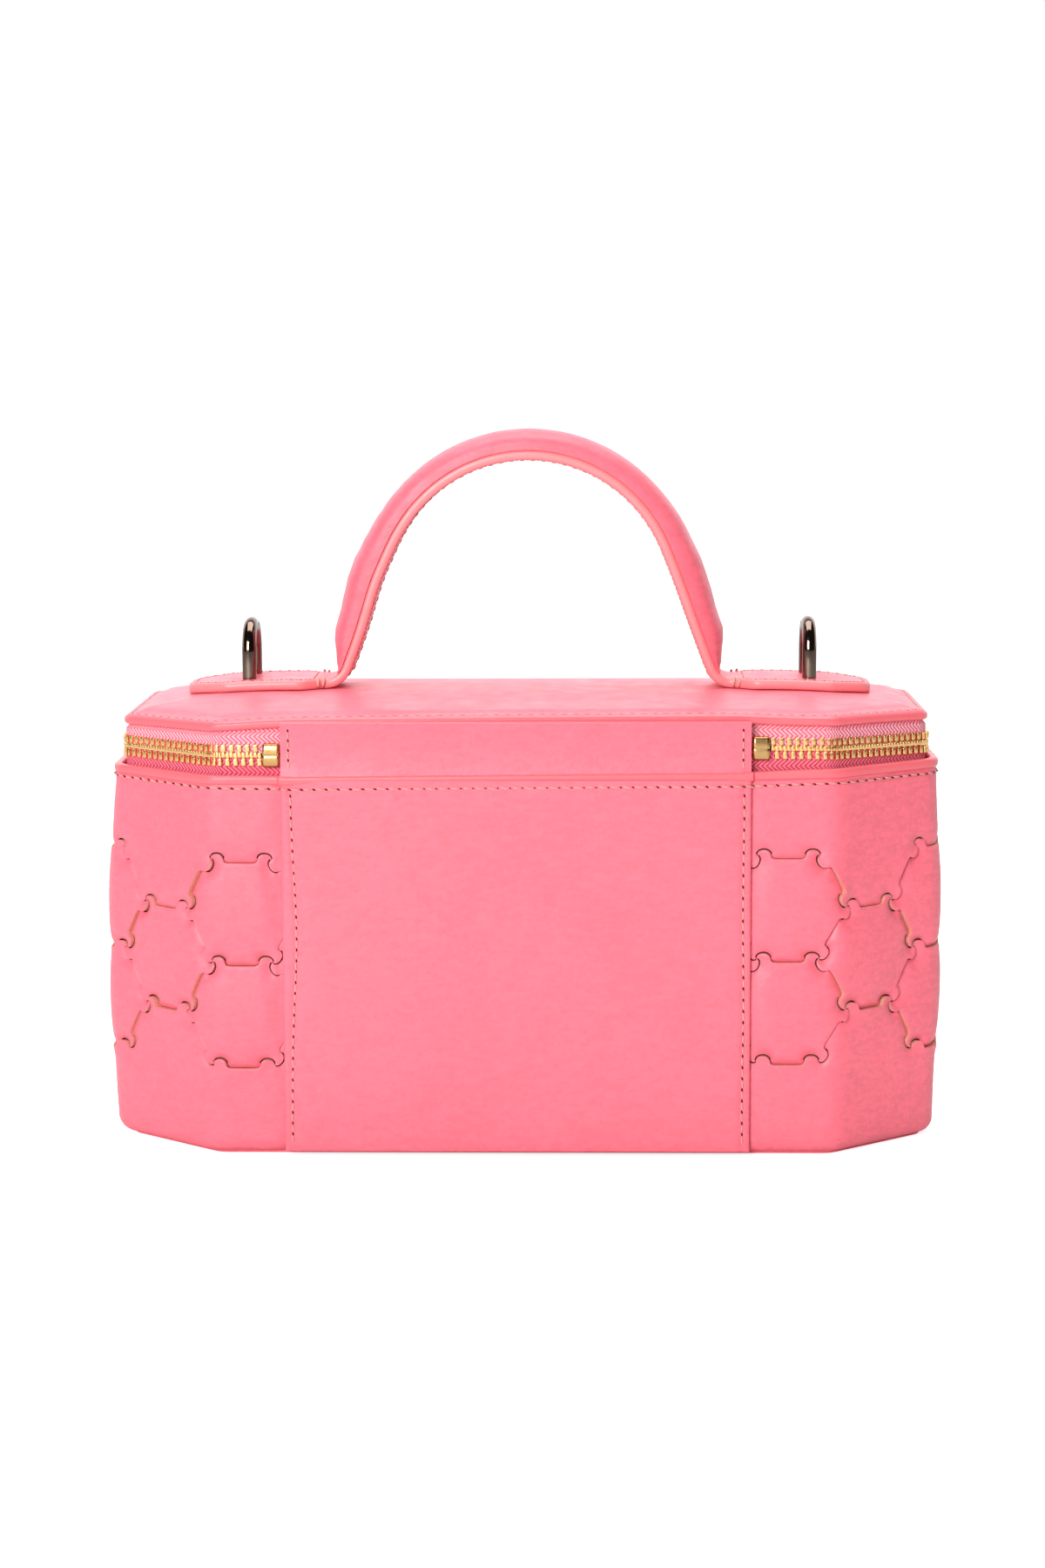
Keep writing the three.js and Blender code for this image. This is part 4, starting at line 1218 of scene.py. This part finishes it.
# ---- Handle ----
ARCH_R = 40.7
ARCH_MID = 149.7
LEG_SPLAY = math.radians(20.7)
FOOT_R = 8.0
STRAP = 2.8
GRIP_HALF = 10.0
TAB_HALF = 14.5
TAB_START = 58.5
TAB_END = 97.6
PADDING = 5.8
COVER_FOOT = 127.4
COVER_SHOULDER = 138.0
COVER_END = 0.25  # height of the cover over the strap at its foot
TAPER_START = 57.5  # the strap widens into a tab from here
TAPER = 8.0
TAB_CHAMFER = (11.5, 7.2)
LOOP_WIRE_R = 2.05
MIRROR_CORNER = 10


def tab_level(x):
    """Height of a tab's underside on the lid's middle line."""
    return dome(WIDTH / 2 - LID_INSET - x) + 0.12


def handle_line():
    """The strap's underside from the top of the arch down to a tab's tip: x, z and the
    direction out of the arch, at close steps."""
    found = []
    for k in range(25):
        angle = math.pi / 2 - (math.pi / 2 - LEG_SPLAY) * k / 24
        out = np.array([math.cos(angle), math.sin(angle)])
        found.append((np.array([0, ARCH_MID]) + ARCH_R * out, out))
    out = found[-1][1]
    down = np.array([math.sin(LEG_SPLAY), -math.cos(LEG_SPLAY)])
    top = found[-1][0]
    level = tab_level(TAB_START)
    turn = math.pi / 2 - LEG_SPLAY
    meets = top + down * (top[1] - level) / -down[1]
    foot = meets - down * FOOT_R * math.tan(turn / 2)
    run = np.linalg.norm(foot - top)
    found += [(top + down * run * k / 12, out) for k in range(1, 13)]
    centre = foot + np.array([-down[1], down[0]]) * FOOT_R
    for k in range(1, 9):
        a = turn * k / 8
        turned = np.array([out[0] * math.cos(a) - out[1] * math.sin(a),
                           out[0] * math.sin(a) + out[1] * math.cos(a)])
        found.append((centre - turned * FOOT_R, turned))
    end_of_bend = found[-1][0][0]
    for x in np.linspace(end_of_bend + 1.2, TAB_END, 34):
        found.append((np.array([x, tab_level(x)]), np.array([0.0, 1.0])))
    return found


def mirrored(half):
    return [(p * (-1, 1), out * (-1, 1)) for p, out in half[::-1]] + half[1:]


def strap_half(x):
    """Half the strap's width: slim on the handle, wide on the tabs, with cut corners."""
    x = abs(x)
    t = min(max((x - TAPER_START) / TAPER, 0), 1)
    half = GRIP_HALF + (TAB_HALF - GRIP_HALF) * t * t * (3 - 2 * t)
    length, depth = TAB_CHAMFER
    cut = min(max((x - (TAB_END - length)) / length, 0), 1)
    half -= depth * (0.25 * cut ** 2 + 0.75 * cut)
    rounding = max(x - (TAB_END - 0.8), 0) / 0.8
    return half - 1.1 * (1 - math.sqrt(max(0, 1 - rounding ** 2)))


def placed(p, out):
    """Where a point of the handle line really sits: off the middle, and bowed on the legs."""
    bow = (0.9 if p[0] < 0 else 0.25) * math.exp(-(((p[1] - 155) / 10) ** 2))
    return p + out * bow + (HANDLE_MID, 0)


def handle_sweep(name, places, section, materials, strip_materials=None, sharp=40):
    """section(x, z) is the outline as (y, height over the strap's underside) points."""
    rings = []
    for p, out in places:
        outline = section(p[0], p[1])
        at = placed(p, out)
        rings.append([(at[0] + out[0] * h, y, at[1] + out[1] * h) for y, h in outline])
    return sections(name, rings, materials, strip_materials, sharp=sharp)


def build_strap():
    """The strap with its tabs, painted along its rounded edges and ends."""
    def section(x, z):
        half = strap_half(x)
        edge = 0.9
        lower = [(y, 0.0) for y in np.linspace(-half + edge, half - edge, 9)]
        upper = [(y, STRAP) for y in np.linspace(half - edge, -half + edge, 9)]
        bulge = [(-60, 0.28), (-25, 0.42), (25, 0.42), (60, 0.28)]
        right = [(half - edge + edge * math.cos(math.radians(a)),
                  STRAP / 2 + STRAP / 2 * math.sin(math.radians(a))) for a, _ in bulge]
        left = [(-y, h) for y, h in right[::-1]]
        return lower + right + upper + left

    kinds = ([0] * 8 + [1] * 5) * 2
    places = mirrored(handle_line())
    # The strap's edge paint is lightened as a painted highlight.
    looks = [LEATHER, LIT_STRAP_EDGE]
    strap = handle_sweep("handle_strap_leather", places, section, looks, kinds, 50)
    for end in list(strap.data.polygons)[-2:]:
        end.material_index = 1
    fit_out(strap, "lid", "painted_edge", "handle_strap")


def cover_share(z):
    return min(max((z - COVER_FOOT) / (COVER_SHOULDER - COVER_FOOT), 0), 1)


def build_cover():
    """The padded cover on the outside of the arch."""
    def section(x, z):
        share = cover_share(z)
        height = COVER_END + (PADDING - COVER_END) * share
        height += 1.0 * math.exp(-(((z - 157) / 11) ** 2))
        half = GRIP_HALF + 0.15
        ripple = 0.07 * math.sin(z * 0.9 + x * 0.7) * (1 if abs(x) > 25 else 0.4)
        points = []
        for k in range(21):
            angle = math.pi * k / 20
            y = -math.cos(angle)
            y = math.copysign(abs(y) ** 0.9, y)
            points.append((half * y, STRAP + 0.05 + (height + ripple) * math.sin(angle) ** 0.62))
        return points + [(y, STRAP - 0.1) for y in (half - 0.6, 0, -half + 0.6)]

    line = [(p, out) for p, out in handle_line() if p[1] > COVER_FOOT and p[0] < 60]
    # The darker handle leather is painted shade on the padded cover.
    looks = [SHADED_LEATHER_HANDLE]
    cover = handle_sweep("handle_cover_leather", mirrored(line), section, looks, sharp=60)
    fit_out(cover, "lid", "leather", "handle_cover", "handle_core")


def build_handle_stitches():
    """Two rows along the underside of the strap."""
    line = [(placed(p, out), out) for p, out in mirrored(handle_line()) if p[1] > 127]
    for side, word in ((-1, "back"), (1, "front")):
        points = [(p[0] - out[0] * 0.02, side * (GRIP_HALF - 1.9), p[1] - out[1] * 0.02)
                  for p, out in line]
        normals = [(-out[0], 0, -out[1]) for _, out in line]
        stitches(f"handle_stitches_{word}", points, normals, "lid", pitch=3.0, radius=0.19)


def build_tab_stitches():
    """A row round each tab, and threads over its two edges where it meets the handle."""
    xs = np.linspace(61.5, 95.9, 30)
    for side, word in ((1, "right"), (-1, "left")):
        border = []
        for y_side in (1, -1):
            part = [(side * x + HANDLE_MID, y_side * (strap_half(x) - 1.7), tab_level(x) + STRAP)
                    for x in xs]
            border += part if y_side > 0 else part[::-1]
        stitches(f"tab_stitches_{word}", border, (0, 0, 1), "lid", pitch=2.8, radius=0.17,
                 slant=-8, closed=True)
        for y_side, end in ((-1, "back"), (1, "front")):
            for k, x in enumerate((58.6, 60.1)):
                half, level, at = strap_half(x) + 0.02, tab_level(x), side * x + HANDLE_MID
                wrap = [(at, y_side * (half - 1.6), level + STRAP),
                        (at, y_side * (half - 0.6), level + STRAP),
                        (at, y_side * half, level + STRAP - 0.7),
                        (at, y_side * half, level + 0.5)]
                ways = [(0, 0, 1), (0, y_side * 0.6, 0.8), (0, y_side, 0.2), (0, y_side, 0)]
                stitches(f"tab_tack_{word}_{end}_{k + 1}", wrap, ways, "lid", pitch=4.2,
                         radius=0.42, slant=0, margin=0, cover=0.96)


# ---- Strap loops, mirror and CAD nodes ----
def build_loops():
    """Round wire staples that stand up through the tabs."""
    radius = LOOP_WIRE_R
    for node in ("strap_loop_right", "strap_loop_left"):
        lo, hi = low(node), high(node)
        x = (lo[0] + hi[0]) / 2 + HANDLE_MID
        half = (hi[1] - lo[1]) / 2 - radius
        top = hi[2] - radius - half
        path = [(-half, z, math.pi) for z in np.linspace(lo[2], top, 5)[:-1]]
        path += [(half * math.cos(a), top + half * math.sin(a), a)
                 for a in np.linspace(math.pi, 0, 25)]
        path += [(half, z, 0) for z in np.linspace(top, lo[2], 5)[1:]]
        rings = []
        for y, z, a in path:
            angles = np.linspace(0, 2 * math.pi, 25)[:-1]
            rings.append([(x + radius * math.cos(t), y + radius * math.sin(t) * math.cos(a),
                           z + radius * math.sin(t) * math.sin(a)) for t in angles])
        # Its darkened gold is a painted reflection of the dark room in front.
        loop = sections(f"{node}_wire", rings, [GOLD_PAINTED_REFLECTION], sharp=60)
        fit_out(loop, "lid", "loop_metal", node)


def build_mirror_frame():
    """A leather border sewn round the mirror."""
    lo, hi = low("lid_mirror"), high("lid_mirror")
    cx, cy = hi[0], hi[1]

    def outline(grow):
        a, b, c = cx + grow, cy + grow, MIRROR_CORNER + grow * 0.6
        corners = [(a, -b + c), (a, b - c), (a - c, b), (-a + c, b), (-a, b - c), (-a, -b + c),
                   (-a + c, -b), (a - c, -b)]
        points = []
        for i, p in enumerate(corners):
            q = np.array(corners[(i + 1) % 8])
            points += [np.array(p) + (q - p) * k / 12 for k in range(12)]
        return np.array(points)

    below, top = lo[2], hi[2] + 0.1
    profile = [
        (-1.6, below - 0.1), (-1.5, below - 0.55), (-1.1, below - 0.75), (3.6, below - 0.6),
        (4.3, below - 0.2), (4.5, top), (0.2, top), (0.2, below - 0.1),
    ]
    rows = np.array([np.column_stack([outline(g), np.full(96, z)]) for g, z in profile])
    rows = rows.transpose(1, 0, 2)
    border = sections("mirror_border", rows, [LEATHER], closed=True, sharp=40)
    fit_out(border, "lid", "leather")
    line = np.column_stack([outline(2.4), np.full(96, lo[2] - 0.66)])
    stitches("mirror_stitches", line, (0, 0, -1), "lid", closed=True)


def finish_cad_nodes():
    """Materials, and rounded edges, for the CAD nodes that stay in view."""
    # The boards' dark colour is partly painted shade for the gaps between the tiles.
    looks = {
        "base_panel": LEATHER, "base_board": BOARD_GAP_SHADE, "wall_board": BOARD_GAP_SHADE, "body_lining": SUEDE,
        "lid_board": BOARD_GAP_SHADE, "lid_lining": SUEDE, "lid_foam": FOAM, "lid_mirror": MIRROR,
        "slider_right": BRASS, "slider_left": BRASS, "pull_right": BRASS, "pull_left": BRASS,
        "loop_plate_right": BRASS, "loop_plate_left": BRASS,
    }
    for name, material in looks.items():
        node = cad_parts[name]
        node.data.materials.clear()
        node.data.materials.append(material)
    for name in ("slider_right", "slider_left", "pull_right", "pull_left", "base_panel"):
        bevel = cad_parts[name].modifiers.new("rounded", "BEVEL")
        bevel.width = (0.35 if name == "base_panel" else 0.22) * MM
        bevel.segments = 3
        bevel.limit_method = "ANGLE"


# ---- Stage ----
def build_stage():
    """A plain floor that fades into the white surroundings."""
    size = 9000
    points = [(-size, -size, 0), (size, -size, 0), (size, size, 0), (-size, size, 0)]
    mesh("floor", points, [(0, 1, 2, 3)], [floor_finish()])


def add_light(name, size, power, position, target=(0, 0, 0.09)):
    data = bpy.data.lights.new(name, "AREA")
    data.shape = "RECTANGLE"
    data.size, data.size_y = size
    data.energy = power
    lamp = bpy.data.objects.new(name, data)
    lamp.location = position
    aim = Vector(target) - Vector(position)
    lamp.rotation_euler = aim.to_track_quat("-Z", "Y").to_euler()
    bpy.context.collection.objects.link(lamp)


def build_light():
    """White surroundings for the camera; for the object, dim in front and bright behind."""
    world = bpy.data.worlds.new("studio")
    bpy.context.scene.world = world
    world.use_nodes = True
    tree = world.node_tree

    def node(kind):
        return tree.nodes.new(kind)

    seen = tree.nodes["Background"]
    seen.inputs["Color"].default_value = (1, 1, 1, 1)
    around = node("ShaderNodeBackground")
    around.inputs["Color"].default_value = (0.96, 0.98, 1.0, 1)
    parts = node("ShaderNodeSeparateXYZ")
    tree.links.new(node("ShaderNodeTexCoord").outputs["Generated"], parts.inputs[0])
    rays = node("ShaderNodeLightPath")
    # Reflections see a dark room in front and overhead, and a bright wall behind.
    backness = node("ShaderNodeMath")
    backness.operation = "MULTIPLY_ADD"
    backness.inputs[1].default_value = -0.7
    tree.links.new(parts.outputs[2], backness.inputs[0])
    tree.links.new(parts.outputs[1], backness.inputs[2])
    strength = node("ShaderNodeMix")
    tree.links.new(rays.outputs["Is Glossy Ray"], strength.inputs[0])
    for socket, values in ((2, (-0.15, 0.45, 0.15, 0.95)), (3, (-0.1, 0.45, 0.03, 1.7))):
        ramp = node("ShaderNodeMapRange")
        for key, value in zip(("From Min", "From Max", "To Min", "To Max"), values):
            ramp.inputs[key].default_value = value
        tree.links.new(backness.outputs[0] if socket == 3 else parts.outputs[1],
                       ramp.inputs["Value"])
        tree.links.new(ramp.outputs[0], strength.inputs[socket])
    tree.links.new(strength.outputs[0], around.inputs["Strength"])
    blend = node("ShaderNodeMixShader")
    tree.links.new(rays.outputs["Is Camera Ray"], blend.inputs[0])
    tree.links.new(around.outputs[0], blend.inputs[1])
    tree.links.new(seen.outputs[0], blend.inputs[2])
    tree.links.new(blend.outputs[0], tree.nodes["World Output"].inputs[0])
    add_light("key", (0.9, 0.9), 35.0, (-0.62, -1.7, 0.72))
    add_light("top", (1.2, 0.9), 14.0, (0.0, 0.15, 1.25))


def build_camera():
    """The fitted view: nearly square on to the hinge side, a little above and to the right."""
    data = bpy.data.cameras.new("camera")
    data.lens = 72.37
    data.sensor_width = 36.0
    data.clip_start, data.clip_end = 0.02, 50
    camera = bpy.data.objects.new("camera", data)
    camera.location = (0.0211, -0.905, 0.2231)
    yaw, pitch, roll = -0.0248, -0.1389, -0.0041
    turn = Matrix.Rotation(-yaw, 4, "Z") @ Matrix.Rotation(math.pi / 2 + pitch, 4, "X")
    camera.rotation_euler = (turn @ Matrix.Rotation(roll, 4, "Z")).to_euler()
    bpy.context.collection.objects.link(camera)
    bpy.context.scene.camera = camera
    bpy.context.scene.view_settings.view_transform = "Standard"


build_wraps()
build_tiles()
build_panel()
build_rim()
build_hinge()
build_tapes()
build_teeth()
build_stops()
build_lid()
build_strap()
build_cover()
build_handle_stitches()
build_tab_stitches()
build_loops()
build_mirror_frame()
finish_cad_nodes()
build_stage()
build_light()
build_camera()
